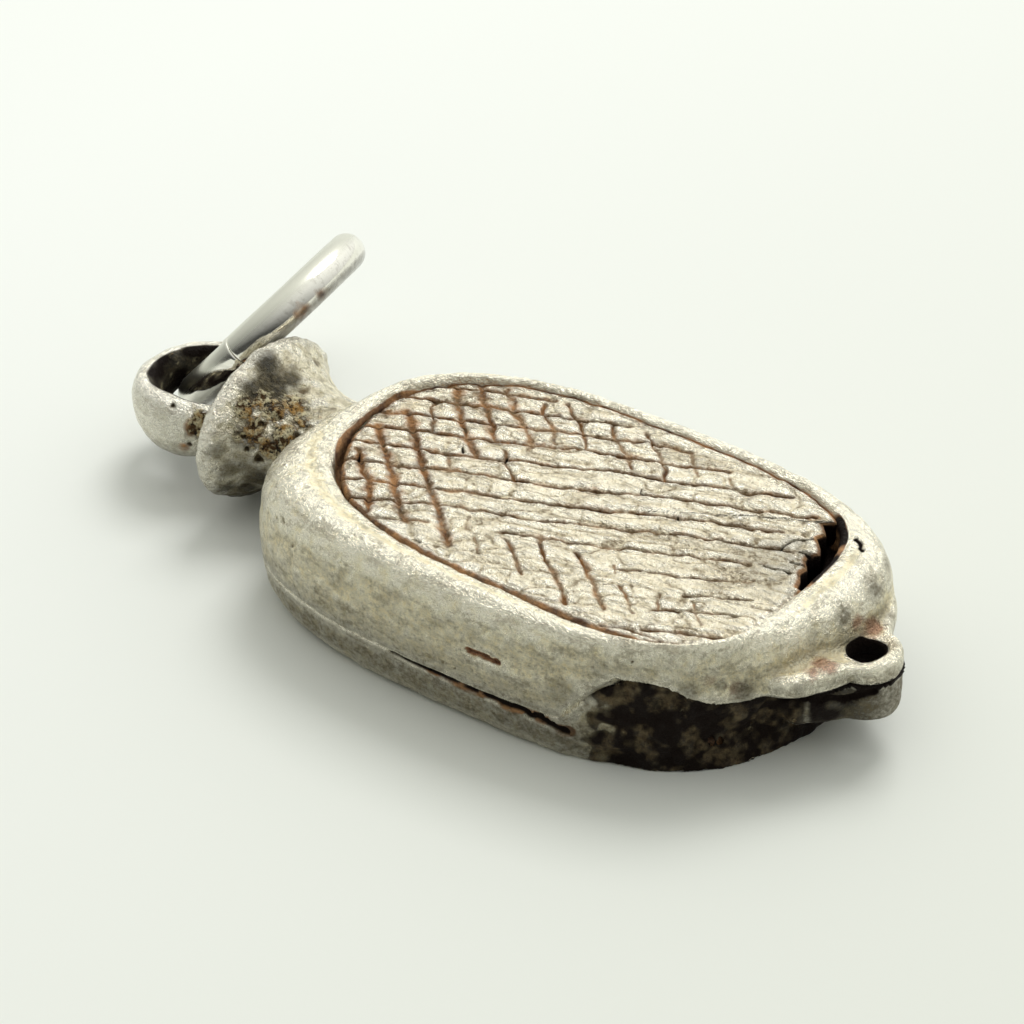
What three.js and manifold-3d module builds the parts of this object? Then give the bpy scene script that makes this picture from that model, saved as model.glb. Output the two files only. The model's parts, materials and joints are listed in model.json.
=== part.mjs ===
// Hot water bottle charm: a hollow silver bottle of two halves, with a cross-hatched panel let
// into each face, a funnel neck, a stopper with an eye, and a round jump ring through the eye.
// Millimetres, +Z up. The charm lies on its back with its neck towards -X and its hanging tab
// towards +X. Each piece is drawn from the bottle's widest station, and the last lines set the
// whole charm over the origin.
import * as THREE from 'three';
import { mergeVertices } from 'three/addons/utils/BufferGeometryUtils.js';
import Module from 'manifold-3d';

const wasm = await Module();
wasm.setup();

const turn = 2 * Math.PI;
const radians = THREE.MathUtils.degToRad;

// Bottle, seen from above: reach from the widest station to each end, and how square each end is
const bottleThickness = 4.05;
const bottleHalfWidth = 5.12;
const bottleNeckReach = 8.6;
const bottleTabReach = 7.8;
const bottleNeckPower = 2.85;
const bottleTabPower = 2.65;
const bottleSkew = 0.25;
const bottleOffset = -0.48;
const wallThickness = 0.6;
const wallBulge = 0.12;

// Rim round each panel
const crestShare = 0.58;
const shoulderHeight = 1.05;
const rimDrop = 0.36;
const wornShare = 0.4;
const innerLipShare = 0.55;

// Seam between the halves, as levels from the bottle's middle plane
const seamGap = 0.06;
const seamSideLevel = -0.75;
const seamCornerLevel = 0.85;
const seamTabLevel = 0.2;
const endWallRecess = 0.45;
const tabRiseStart = 24;
const tabRiseEnd = 35;
const cornerFallStart = 43;
const cornerFallEnd = 53;
const recessStart = 40;
const recessEnd = 54;

// Panels
const panelNeckReach = 7.42;
const panelTabReach = 6.38;
const panelHalfWidth = 4.18;
const panelNeckPower = 2.65;
const panelTabPower = 3.9;
const panelOffset = -0.27;
const panelThickness = 0.6;
const panelCrown = 0.12;
const panelClearance = 0.1;
const ledgeWidth = 0.45;
const ledgeThickness = 0.45;
const ledgeRootDrop = 0.25;
const lapHeight = 0.4;
const seatClearance = 0.03;
const chipDepth = 0.42;
const chipAngle = 38;
const chipSpread = 7;

// Cross-hatch on the panels: straight cuts, with angles from the long axis and shifts from the middle
const cutWidth = 0.24;
const cutDepth = 0.12;
const cutMargin = 0.35;
const cutStep = 2.4;
const cutLift = 0.1;
const risingAngle = 22.8;
const risingSpacing = 0.797;
const risingShift = -0.195;
const fallingAngle = -43.5;
const fallingSpacing = 0.772;
const fallingShift = 0.223;
const fallingReach = 2.2;
const fallingWholeBefore = -2.8;

// Hanging tab, one layer on each half
const tabRadius = 0.95;
const tabOverhang = 0.55;
const tabOffset = 0.2;
const tabHoleRadius = 0.5;
const tabFrontRoot = 2.7;
const tabBackRoot = 1.9;
const tabFrontThickness = 0.68;
const tabBackThickness = 1.15;
const tabRounding = 0.16;
const tabWaist = 0.7;
const dishDepth = 0.24;
const dishRadius = 0.85;
const dishStretch = 1.25;
const dishShift = 0.25;

// Funnel neck: a round section, made wider and lower by these factors across and upwards
const neckRadius = 1.42;
const neckInsert = 0.05;
const neckLength = 2.35;
const waistShare = 0.2;
const flarePower = 2.3;
const mouthRadius = 2.5;
const mouthLipLength = 0.62;
const mouthLipStart = 40;
const mouthRecessDepth = 0.95;
const mouthRecessTaper = 0.2;
const neckBoreRadius = 0.7;
const funnelAcross = 1.13;
const funnelUp = 0.88;
const funnelLift = 0.19;
const neckClearance = 0.06;

// Stopper: a loop that lies nearly flat, on a short stem in the funnel's mouth
const eyeRadius = 1.67;
const eyeWallWidth = 0.64;
const eyeWallWidthNear = 1.14;
const eyeWallHeightFar = 0.92;
const eyeWallHeightNear = 2;
const eyeWallRiseNear = 0.5;
const eyeTilt = 8;
const eyeLift = 0.12;
const eyeOverlap = 0.06;
const stemRadius = 0.95;
const stemClearance = 0.1;
const stemDepth = 0.7;

// Jump ring of round wire: its plane leans against the funnel and passes through the eye
const ringRadius = 2.91;
const wireRadius = 0.54;
const ringTilt = 50.2;
const ringTurn = 188.2;
const ringWallAngle = 96.5;
const ringSeatAngle = 161.8;
const ringSeatClearance = 0.14;
const ringCutAngle = 20;
const ringCutGap = 0.05;

// Facets
const stationCount = 64;
const shoulderSteps = 5;
const panelRings = 4;
const latheSegments = 40;
const eyeSegments = 48;
const eyeSides = 16;
const flareSteps = 4;
const ringSegments = 48;
const wireSides = 12;
const facetTolerance = 0.006;

const halfThickness = bottleThickness / 2;
const seatLevel = halfThickness - rimDrop - panelThickness;
const funnelLevel = halfThickness + funnelLift;
const hair = 0.02;

const silver = { color: 0xb8b2a4, roughness: 0.42, metalness: 1 };
const wornSilver = { color: 0xc4bfb2, roughness: 0.36, metalness: 1 };
const darkSilver = { color: 0x8f8776, roughness: 0.55, metalness: 1 };
const brightSilver = { color: 0xe9e8e4, roughness: 0.14, metalness: 1 };

// A smooth step from 0 at a to 1 at b
function ramp(value, a, b) {
  const s = THREE.MathUtils.clamp((value - a) / (b - a), 0, 1);
  return s * s * (3 - 2 * s);
}

// Closed skin over a grid of points: rows wrap round, and columns either wrap round or end in caps
function skin(rows, wrapRows) {
  const count = rows[0].length;
  const vertices = rows.flat().flatMap((p) => [p.x, p.y, p.z]);
  const faces = [];
  const last = wrapRows ? rows.length : rows.length - 1;
  for (let i = 0; i < last; i++) {
    const next = (i + 1) % rows.length;
    for (let j = 0; j < count; j++) {
      const k = (j + 1) % count;
      const a = i * count + j;
      const b = next * count + j;
      const c = next * count + k;
      const d = i * count + k;
      faces.push(a, b, c, a, c, d);
    }
  }
  if (!wrapRows) {
    capRow(rows[0], 0, vertices, faces, false);
    capRow(rows[rows.length - 1], (rows.length - 1) * count, vertices, faces, true);
  }
  const geometry = new THREE.BufferGeometry();
  geometry.setAttribute('position', new THREE.Float32BufferAttribute(vertices, 3));
  geometry.setIndex(faces);
  return facingOut(geometry);
}

// Fan from a row's own middle, to close the end of a skin
function capRow(row, start, vertices, faces, far) {
  const middle = new THREE.Vector3();
  row.forEach((p) => middle.add(p));
  middle.divideScalar(row.length);
  const hub = vertices.length / 3;
  vertices.push(middle.x, middle.y, middle.z);
  row.forEach((p, j) => {
    const a = start + j;
    const b = start + (j + 1) % row.length;
    faces.push(...(far ? [hub, b, a] : [hub, a, b]));
  });
}

// Signed volume of an indexed geometry: negative where its faces point in
function signedVolume(geometry) {
  const position = geometry.attributes.position;
  const index = geometry.index;
  const corner = [new THREE.Vector3(), new THREE.Vector3(), new THREE.Vector3()];
  let sum = 0;
  for (let i = 0; i < index.count; i += 3) {
    corner.forEach((p, j) => p.fromBufferAttribute(position, index.getX(i + j)));
    sum += corner[0].dot(corner[1].clone().cross(corner[2])) / 6;
  }
  return sum;
}

function facingOut(geometry) {
  if (signedVolume(geometry) > 0) return geometry;
  const index = geometry.index;
  for (let i = 0; i < index.count; i += 3) {
    const kept = index.getX(i + 1);
    index.setX(i + 1, index.getX(i + 2));
    index.setX(i + 2, kept);
  }
  return geometry;
}

function toSolid(geometry) {
  const bare = geometry.clone();
  bare.deleteAttribute('normal');
  bare.deleteAttribute('uv');
  const merged = facingOut(mergeVertices(bare, 1e-5));
  return new wasm.Manifold(new wasm.Mesh({
    numProp: 3,
    vertProperties: new Float32Array(merged.attributes.position.array),
    triVerts: new Uint32Array(merged.index.array),
  }));
}

function toGeometry(solid) {
  const mesh = solid.getMesh();
  const geometry = new THREE.BufferGeometry();
  geometry.setAttribute('position', new THREE.BufferAttribute(mesh.vertProperties, 3));
  geometry.setIndex(new THREE.BufferAttribute(mesh.triVerts, 1));
  return geometry;
}

function piece(name, geometry, finish) {
  geometry.computeVertexNormals();
  const mesh = new THREE.Mesh(geometry, new THREE.MeshStandardMaterial(finish));
  mesh.name = name;
  return mesh;
}

// Outlines: egg-shaped curves |x/reach|^p + |y/halfWidth|^p = 1, given by the angle at the centre
const bottleOutline = {
  neckReach: bottleNeckReach,
  tabReach: bottleTabReach,
  halfWidth: bottleHalfWidth,
  neckPower: bottleNeckPower,
  tabPower: bottleTabPower,
  skew: bottleSkew,
  offset: bottleOffset,
};
const windowOutline = {
  neckReach: panelNeckReach,
  tabReach: panelTabReach,
  halfWidth: panelHalfWidth,
  neckPower: panelNeckPower,
  tabPower: panelTabPower,
  skew: 0,
  offset: panelOffset,
};

function outlinePoint(outline, angle) {
  const c = Math.cos(angle);
  const s = Math.sin(angle);
  const reach = c >= 0 ? outline.tabReach : outline.neckReach;
  const power = c >= 0 ? outline.tabPower : outline.neckPower;
  const sum = Math.abs(c / reach) ** power + Math.abs(s / outline.halfWidth) ** power;
  const radius = sum ** (-1 / power);
  const across = radius * s;
  return new THREE.Vector2(radius * c + outline.skew * across, across + outline.offset);
}

// Station angles evenly spaced along the bottle's outline
function evenAngles(outline, count) {
  const fine = 1440;
  const travelled = [0];
  let previous = outlinePoint(outline, 0);
  for (let i = 1; i <= fine; i++) {
    const point = outlinePoint(outline, (turn * i) / fine);
    travelled.push(travelled[i - 1] + point.distanceTo(previous));
    previous = point;
  }
  const angles = [];
  let i = 0;
  for (let k = 0; k < count; k++) {
    const goal = (travelled[fine] * k) / count;
    while (travelled[i + 1] < goal) i++;
    const share = (goal - travelled[i]) / (travelled[i + 1] - travelled[i]);
    angles.push((turn * (i + share)) / fine);
  }
  return angles;
}

const stations = evenAngles(bottleOutline, stationCount);

// Angle away from the tab's axis, 0 to 180 degrees
function degreesFromTab(angle) {
  return THREE.MathUtils.radToDeg(Math.acos(Math.cos(angle)));
}

// The seam runs low along the sides, rises at the tab corners and dips again at the tab
function seamLevel(angle) {
  const away = degreesFromTab(angle);
  const rise = ramp(away, tabRiseStart, tabRiseEnd);
  const corner = THREE.MathUtils.lerp(seamTabLevel, seamCornerLevel, rise);
  return THREE.MathUtils.lerp(corner, seamSideLevel, ramp(away, cornerFallStart, cornerFallEnd));
}

function endRecess(angle) {
  return endWallRecess * (1 - ramp(degreesFromTab(angle), recessStart, recessEnd));
}

// Section of one half at a station, as points (inward distance, level above the middle plane)
function halfSection(angle, rimWidth, seam, recess, flatShare) {
  const inner = wallThickness + endRecess(angle);
  const flat = flatShare * rimWidth;
  const crestStart = crestShare * rimWidth - flat / 2;
  const shoulderStart = halfThickness - shoulderHeight;
  const foot = seam + seamGap / 2;
  const bulge = (level) => recess + wallBulge * (level / shoulderStart) ** 2;
  const section = [];
  for (const share of [0, 0.5]) {
    const level = THREE.MathUtils.lerp(foot, shoulderStart, share);
    section.push([bulge(level), level]);
  }
  for (let i = 0; i <= shoulderSteps; i++) {
    const a = ((Math.PI / 2) * i) / shoulderSteps;
    const start = bulge(shoulderStart);
    const inward = crestStart - (crestStart - start) * Math.cos(a);
    section.push([inward, shoulderStart + shoulderHeight * Math.sin(a)]);
  }
  if (flat > 0) section.push([crestStart + flat, halfThickness]);
  for (const share of [innerLipShare, 1]) {
    const from = crestStart + flat;
    section.push([THREE.MathUtils.lerp(from, rimWidth, share), halfThickness - rimDrop * share * share]);
  }
  section.push([rimWidth, seatLevel]);
  section.push([rimWidth + ledgeWidth, seatLevel]);
  section.push([rimWidth + ledgeWidth, seatLevel - ledgeThickness]);
  section.push([inner + ledgeThickness, shoulderStart - ledgeRootDrop]);
  section.push([inner + hair, Math.max(lapHeight, foot + hair)]);
  section.push([inner, foot]);
  return section;
}

// One half of the bottle: the section carried round all stations. side is 1 for the front half
function halfShell(side, flatShare) {
  const rows = stations.map((angle) => {
    const outer = outlinePoint(bottleOutline, angle);
    const window = outlinePoint(windowOutline, angle);
    const rimWidth = outer.distanceTo(window);
    const inward = window.clone().sub(outer).normalize();
    const recess = side > 0 ? 0 : endRecess(angle);
    const section = halfSection(angle, rimWidth, side * seamLevel(angle), recess, flatShare);
    return section.map(([distance, level]) => {
      const p = outer.clone().addScaledVector(inward, distance);
      return new THREE.Vector3(p.x, p.y, halfThickness + side * level);
    });
  });
  return skin(rows, true);
}

// Outline of the tab: a round end about the hole, drawn out to its root on the bottle's end wall
const tabHoleX = bottleTabReach + tabOverhang;

function tabShape(rootHalfWidth) {
  const rootX = bottleTabReach - wallThickness - endWallRecess / 2;
  const radius = tabRadius - tabRounding;
  const root = rootHalfWidth - tabRounding;
  const shape = new THREE.Shape();
  shape.moveTo(rootX, -root);
  shape.quadraticCurveTo(tabHoleX - radius * tabWaist, -root, tabHoleX, -radius);
  shape.absarc(tabHoleX, 0, radius, -Math.PI / 2, Math.PI / 2, false);
  shape.quadraticCurveTo(tabHoleX - radius * tabWaist, root, rootX, root);
  shape.closePath();
  return shape;
}

function tabLayer(bottom, thickness, rootHalfWidth) {
  const geometry = new THREE.ExtrudeGeometry(tabShape(rootHalfWidth), {
    depth: thickness - 2 * tabRounding,
    bevelEnabled: true,
    bevelSize: tabRounding,
    bevelThickness: tabRounding,
    bevelSegments: 2,
    curveSegments: 10,
  });
  geometry.translate(0, tabOffset, bottom + tabRounding);
  return toSolid(geometry);
}

// Round cutter along Z or X
function cutter(radius, length, along, segments = 24) {
  const geometry = new THREE.CylinderGeometry(radius, radius, length, segments);
  if (along === 'z') geometry.rotateX(Math.PI / 2);
  if (along === 'x') geometry.rotateZ(Math.PI / 2);
  return geometry;
}

// The neck passes through both halves, and the tab's hole through both layers
function neckCutter() {
  const length = 4 * wallThickness;
  const geometry = cutter(neckRadius + neckClearance, length, 'x', latheSegments);
  geometry.scale(1, funnelAcross, funnelUp);
  geometry.translate(-bottleNeckReach, 0, funnelLevel);
  return toSolid(geometry);
}

function tabHoleCutter() {
  const geometry = cutter(tabHoleRadius, 2 * bottleThickness, 'z');
  geometry.translate(tabHoleX, tabOffset, halfThickness);
  return toSolid(geometry);
}

const tabFloor = halfThickness + seamTabLevel;

function frontShell() {
  const bottom = tabFloor + seamGap / 2;
  const layer = tabLayer(bottom, tabFrontThickness, tabFrontRoot);
  const dish = new THREE.SphereGeometry(dishRadius, 24, 16);
  dish.scale(1, dishStretch, dishDepth / dishRadius);
  dish.translate(tabHoleX - dishRadius * dishShift, tabOffset, bottom + tabFrontThickness);
  const solid = toSolid(halfShell(1, 0))
    .add(layer.subtract(toSolid(dish)))
    .subtract(neckCutter())
    .subtract(tabHoleCutter());
  return toGeometry(solid);
}

function backShell() {
  const bottom = tabFloor - seamGap / 2 - tabBackThickness;
  const layer = tabLayer(bottom, tabBackThickness, tabBackRoot);
  const solid = toSolid(halfShell(-1, wornShare))
    .add(layer)
    .subtract(neckCutter())
    .subtract(tabHoleCutter());
  return toGeometry(solid);
}

// Share of the way from the middle to the panel's rim at a point, which is 1 on the rim
function rimShare(rim, x, y) {
  for (let i = 0; i < rim.length; i++) {
    const a = rim[i];
    const b = rim[(i + 1) % rim.length];
    const fromA = a.x * y - a.y * x;
    const fromB = b.x * y - b.y * x;
    if (fromA >= 0 && fromB < 0 && a.x * x + a.y * y > 0) {
      return (fromA - fromB) / (a.x * b.y - a.y * b.x);
    }
  }
  return 0;
}

// One straight V-shaped cut between two stretches of a line, down from the panel's crowned face
function cut(rim, edge, angle, shift, from, to, side) {
  const along = new THREE.Vector2(Math.cos(radians(angle)), Math.sin(radians(angle)));
  const across = new THREE.Vector2(-along.y, along.x);
  const half = (cutWidth / 2) * ((cutDepth + cutLift) / cutDepth);
  const steps = Math.ceil((to - from) / cutStep);
  const ends = [];
  for (let i = 0; i <= steps; i++) {
    const reach = THREE.MathUtils.lerp(from, to, i / steps);
    const p = cutPoint(along, across, reach, shift, side);
    const level = edge + panelCrown * (1 - rimShare(rim, p.x, p.y) ** 4);
    const wide = (way, z) => {
      const q = cutPoint(along, across, reach, shift + way * half, side);
      return [q.x, q.y, halfThickness + side * z];
    };
    ends.push([wide(-1, level + cutLift), wide(1, level + cutLift), wide(0, level - cutDepth)]);
  }
  const parts = [];
  for (let i = 0; i < steps; i++) parts.push(wasm.Manifold.hull([...ends[i], ...ends[i + 1]]));
  return parts;
}

// A point on a cut's line, given from the middle of the panel; the back face's pattern is mirrored
function cutPoint(along, across, reach, shift, side) {
  const x = along.x * reach + across.x * shift;
  const y = along.y * reach + across.y * shift;
  const middle = (panelTabReach - panelNeckReach) / 2;
  return new THREE.Vector2(x + middle, side * y + panelOffset);
}

// All cuts of one family: each line's stretch on the panel, whole or as a short cut from each end
function cutFamily(rim, edge, angle, spacing, start, side, wholeBefore, endReach) {
  const parts = [];
  const limit = Math.ceil(panelNeckReach / spacing);
  const along = new THREE.Vector2(Math.cos(radians(angle)), Math.sin(radians(angle)));
  const across = new THREE.Vector2(-along.y, along.x);
  for (let k = -limit; k <= limit; k++) {
    const shift = start + k * spacing;
    const inside = (reach) => {
      const p = cutPoint(along, across, reach, shift, side);
      const room = p.length() * (1 / Math.max(rimShare(rim, p.x, p.y), hair) - 1);
      return room > cutMargin;
    };
    const stretch = [];
    for (let reach = -panelNeckReach; reach <= panelNeckReach; reach += hair) {
      if (inside(reach)) stretch.push(reach);
    }
    if (stretch.length * hair < cutMargin) continue;
    const from = stretch[0];
    const to = stretch[stretch.length - 1];
    if (shift < wholeBefore || to - from < 2 * endReach) {
      parts.push(...cut(rim, edge, angle, shift, from, to, side));
    } else {
      parts.push(...cut(rim, edge, angle, shift, from, from + endReach, side));
      parts.push(...cut(rim, edge, angle, shift, to - endReach, to, side));
    }
  }
  return parts;
}

// Panel: a crowned plate that drops into its half's window and lies on the ledge
function panel(side, chip) {
  const seat = seatLevel + seatClearance;
  const edge = seatLevel + panelThickness;
  const rim = stations.map((angle) => {
    const point = outlinePoint(windowOutline, angle);
    const away = THREE.MathUtils.radToDeg(angle) - chipAngle;
    const chipped = chip * Math.exp(-((away / chipSpread) ** 2));
    return point.setLength(point.length() - panelClearance - chipped);
  });
  const level = (share, z) => rim.map((p) => {
    return new THREE.Vector3(p.x * share, p.y * share, halfThickness + side * z);
  });
  const rows = [];
  for (let i = 1; i < panelRings; i++) rows.push(level(i / panelRings, seat));
  rows.push(level(1, seat));
  rows.push(level(1, edge - seatClearance));
  for (let i = panelRings - 1; i > 0; i--) {
    const share = i / panelRings;
    rows.push(level(share, edge + panelCrown * (1 - share ** 4)));
  }
  const cuts = [
    ...cutFamily(rim, edge, risingAngle, risingSpacing, risingShift, side, Infinity, 0),
    ...cutFamily(
      rim,
      edge,
      fallingAngle,
      fallingSpacing,
      fallingShift,
      side,
      fallingWholeBefore,
      fallingReach,
    ),
  ];
  const carved = toSolid(skin(rows, false)).subtract(wasm.Manifold.union(cuts));
  return toGeometry(carved.asOriginal().simplify(facetTolerance));
}

// Funnel: the neck passes into the bottle, narrows to its waist and flares to a round-lipped mouth
const mouthX = -bottleNeckReach - neckLength - mouthLipLength;

function funnel() {
  const lip = mouthLipLength / 2;
  const lipPoint = (angle) => [
    mouthRadius - lip + lip * Math.sin(angle),
    mouthX + lip + lip * Math.cos(angle),
  ];
  const recess = stemRadius + stemClearance;
  const insert = -bottleNeckReach + wallThickness + neckInsert;
  const waist = -bottleNeckReach - neckLength * waistShare;
  const profile = [[neckBoreRadius, insert], [neckRadius, insert]];
  const [flareRadius, flareEnd] = lipPoint(radians(mouthLipStart));
  for (let i = 0; i < flareSteps; i++) {
    const share = i / flareSteps;
    profile.push([
      THREE.MathUtils.lerp(neckRadius, flareRadius, share ** flarePower),
      THREE.MathUtils.lerp(waist, flareEnd, share),
    ]);
  }
  for (let i = 0; i <= shoulderSteps; i++) {
    const share = i / shoulderSteps;
    profile.push(lipPoint(radians(THREE.MathUtils.lerp(mouthLipStart, 180, share))));
  }
  profile.push([recess, mouthX]);
  profile.push([recess, mouthX + mouthRecessDepth]);
  profile.push([neckBoreRadius, mouthX + mouthRecessDepth + mouthRecessTaper]);
  profile.push(profile[0]);
  const points = profile.map(([r, x]) => new THREE.Vector2(r, x));
  const geometry = new THREE.LatheGeometry(points, latheSegments);
  geometry.rotateZ(-Math.PI / 2);
  geometry.scale(1, funnelAcross, funnelUp);
  geometry.translate(0, 0, funnelLevel);
  return toGeometry(toSolid(geometry));
}

// Stopper eye: a loop with a thicker, deeper near side, tilted about the charm's long axis
const eyeReach = eyeRadius + eyeWallWidth / 2;
const eyeCentre = new THREE.Vector3(
  mouthX - eyeReach + eyeOverlap,
  0,
  halfThickness + eyeLift,
);

function eyeLoopPoint(angle) {
  return new THREE.Vector3(eyeRadius * Math.cos(angle), eyeRadius * Math.sin(angle), 0)
    .applyAxisAngle(new THREE.Vector3(1, 0, 0), radians(eyeTilt))
    .add(eyeCentre);
}

function stopper() {
  const tilt = new THREE.Matrix4().makeRotationX(radians(eyeTilt));
  const rows = [];
  for (let i = 0; i < eyeSegments; i++) {
    const angle = (turn * i) / eyeSegments;
    const near = (1 - Math.sin(angle)) / 2;
    const height = THREE.MathUtils.lerp(eyeWallHeightFar, eyeWallHeightNear, near ** 2);
    const width = THREE.MathUtils.lerp(eyeWallWidth, eyeWallWidthNear, near ** 4);
    const drop = (height - eyeWallHeightFar) / 2 - eyeWallRiseNear * near ** 2;
    const row = [];
    for (let j = 0; j < eyeSides; j++) {
      const a = (turn * j) / eyeSides;
      const radius = eyeReach - (width / 2) * (1 - Math.cos(a));
      const z = (height / 2) * Math.sin(a) - drop;
      const p = new THREE.Vector3(radius * Math.cos(angle), radius * Math.sin(angle), z);
      row.push(p.applyMatrix4(tilt).add(eyeCentre));
    }
    rows.push(row);
  }
  const loop = toSolid(skin(rows, true));
  const stemStart = eyeCentre.x + eyeRadius;
  const stemEnd = mouthX + stemDepth;
  const stem = cutter(stemRadius, stemEnd - stemStart, 'x', latheSegments);
  stem.scale(1, funnelAcross, funnelUp);
  stem.translate((stemStart + stemEnd) / 2, 0, funnelLevel);
  return toGeometry(loop.add(toSolid(stem)));
}

// Jump ring: the wire's circle lies in a leaning plane and goes round the eye's far wall
function jumpRing() {
  const tilt = radians(ringTilt);
  const lean = radians(ringTurn);
  const normal = new THREE.Vector3(
    Math.sin(tilt) * Math.cos(lean),
    Math.sin(tilt) * Math.sin(lean),
    Math.cos(tilt),
  );
  const level = new THREE.Vector3(-Math.sin(lean), Math.cos(lean), 0);
  const slope = normal.clone().cross(level);
  const along = (angle) => level.clone().multiplyScalar(Math.cos(angle))
    .addScaledVector(slope, Math.sin(angle));
  const wall = eyeLoopPoint(radians(ringWallAngle));
  const wallReach = Math.hypot(eyeWallWidth, eyeWallHeightFar) / 2 + ringSeatClearance;
  const centre = wall.addScaledVector(
    along(radians(ringSeatAngle)),
    ringRadius - wireRadius - wallReach,
  );
  const cut = radians(ringCutAngle);
  const halfCut = ringCutGap / ringRadius / 2;
  const rows = [];
  for (let i = 0; i <= ringSegments; i++) {
    const angle = cut + halfCut + ((turn - 2 * halfCut) * i) / ringSegments;
    const out = along(angle);
    const row = [];
    for (let j = 0; j < wireSides; j++) {
      const a = (turn * j) / wireSides;
      row.push(centre.clone()
        .addScaledVector(out, ringRadius + wireRadius * Math.cos(a))
        .addScaledVector(normal, wireRadius * Math.sin(a)));
    }
    rows.push(row);
  }
  return skin(rows, false);
}

const charm = new THREE.Group();
charm.add(
  piece('front_shell', frontShell(), silver),
  piece('back_shell', backShell(), silver),
  piece('front_panel', panel(1, chipDepth), wornSilver),
  piece('back_panel', panel(-1, 0), wornSilver),
  piece('funnel_neck', funnel(), darkSilver),
  piece('stopper_eye', stopper(), silver),
  piece('jump_ring', jumpRing(), brightSilver),
);

// The origin is under the middle of the whole charm, on the surface that it lies on
const reach = new THREE.Box3().setFromObject(charm);
charm.position.set(-(reach.min.x + reach.max.x) / 2, -(reach.min.y + reach.max.y) / 2, 0);

export default charm;
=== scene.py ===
# %% [markdown]
# # An old silver hot water bottle charm
# The real charm is a hollow silver casting about 25 mm long: two shells, a cross-hatched plate in
# each face, a funnel neck, a stopper with an eye and a bright jump ring. The CAD frame gives every
# piece its place and size. Blender adds what a jeweller's loupe shows: rubbed edges, hand-cut
# grooves, pits, soot and brown residue. We load the frame first, and every piece is built over it.

# %% Load the frame
import json
import math
from functools import partial

import bmesh
import bpy
import numpy as np
from mathutils import Matrix, Vector
from mathutils.bvhtree import BVHTree


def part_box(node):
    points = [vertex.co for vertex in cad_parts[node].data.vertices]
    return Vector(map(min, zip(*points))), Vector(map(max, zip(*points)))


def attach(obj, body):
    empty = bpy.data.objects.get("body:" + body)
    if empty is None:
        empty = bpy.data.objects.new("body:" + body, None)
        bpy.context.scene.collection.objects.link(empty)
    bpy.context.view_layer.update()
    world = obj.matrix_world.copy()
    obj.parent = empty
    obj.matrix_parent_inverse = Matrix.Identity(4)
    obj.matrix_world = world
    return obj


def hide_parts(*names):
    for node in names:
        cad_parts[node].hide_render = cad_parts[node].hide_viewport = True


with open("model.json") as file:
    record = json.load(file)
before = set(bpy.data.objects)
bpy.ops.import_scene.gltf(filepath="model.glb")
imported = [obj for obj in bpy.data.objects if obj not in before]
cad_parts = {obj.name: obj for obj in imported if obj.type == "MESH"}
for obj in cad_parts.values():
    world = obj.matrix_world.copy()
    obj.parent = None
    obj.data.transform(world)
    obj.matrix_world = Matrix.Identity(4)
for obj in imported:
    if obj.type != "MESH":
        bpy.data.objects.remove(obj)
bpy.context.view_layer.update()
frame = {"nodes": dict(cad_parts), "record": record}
MM = 0.001


def into_scene(name, data):
    """A new object in the scene, around its mesh, lamp or camera."""
    item = bpy.data.objects.new(name, data)
    bpy.context.scene.collection.objects.link(item)
    return item


print("frame nodes:", sorted(frame["nodes"]))

# %% [markdown]
# ## Camera
# The photograph was taken from close by with a long lens, looking down at about 35 degrees. A
# camera is three arrows: back (towards the photographer), right and up. We aim it so that one known
# point of the table lands on one known pixel, which fixes the framing without trial and error.

# %% Place the camera
AZIMUTH, ELEVATION = math.radians(36), math.radians(35.5)
PICTURE = 1024
SENSOR = 36.0
DISTANCE = 120.0
PIXELS_PER_MM = 36.0
TABLE_POINT, TABLE_PIXEL = Vector((0.252, 3.156, 0)), (580, 520)

BACK = Vector((math.sin(AZIMUTH) * math.cos(ELEVATION), -math.cos(AZIMUTH) * math.cos(ELEVATION),
               math.sin(ELEVATION)))
RIGHT = Vector((math.cos(AZIMUTH), math.sin(AZIMUTH), 0))
UP = BACK.cross(RIGHT)
EYE = (TABLE_POINT + BACK * DISTANCE
       - RIGHT * ((TABLE_PIXEL[0] - PICTURE / 2) / PIXELS_PER_MM)
       + UP * ((TABLE_PIXEL[1] - PICTURE / 2) / PIXELS_PER_MM))

camera = into_scene("camera", bpy.data.cameras.new("camera"))
camera.data.sensor_width = SENSOR
camera.data.lens = PIXELS_PER_MM * DISTANCE / PICTURE * SENSOR
camera.data.clip_start, camera.data.clip_end = 0.001, 10
camera.matrix_world = Matrix.Translation(EYE * MM) @ Matrix((RIGHT, UP, BACK)).transposed().to_4x4()
bpy.context.scene.camera = camera
bpy.context.scene.view_settings.view_transform = "Standard"
print(f"lens {camera.data.lens:.1f} mm, camera at", [round(v, 1) for v in EYE], "mm")


# %% [markdown]
# ## Helpers for node trees
# A material is a graph. These two helpers keep the graphs readable: one adds a node and sets its
# values, and the other joins an output to an input. Numbers that are the same all over a surface
# are set straight on the socket.

# %% Node helpers
def add(tree, kind, values=None, **settings):
    """A new node of a kind, with settings on the node and values on its input sockets."""
    node = tree.nodes.new("ShaderNode" + kind)
    for name, value in settings.items():
        setattr(node, name, value)
    for socket, value in (values or {}).items():
        if isinstance(value, bpy.types.NodeSocket):
            tree.links.new(value, node.inputs[socket])
        else:
            node.inputs[socket].default_value = value
    return node


def mix(tree, factor, a, b, blend="MIX"):
    """The colour output of a Mix node."""
    node = add(tree, "Mix", {0: factor, 6: a, 7: b}, data_type="RGBA", blend_type=blend)
    return node.outputs[2]


def maths(tree, operation, a, b=0.0, clamp=False):
    """The output of a Math node."""
    return add(tree, "Math", {0: a, 1: b}, operation=operation, use_clamp=clamp).outputs[0]


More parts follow.
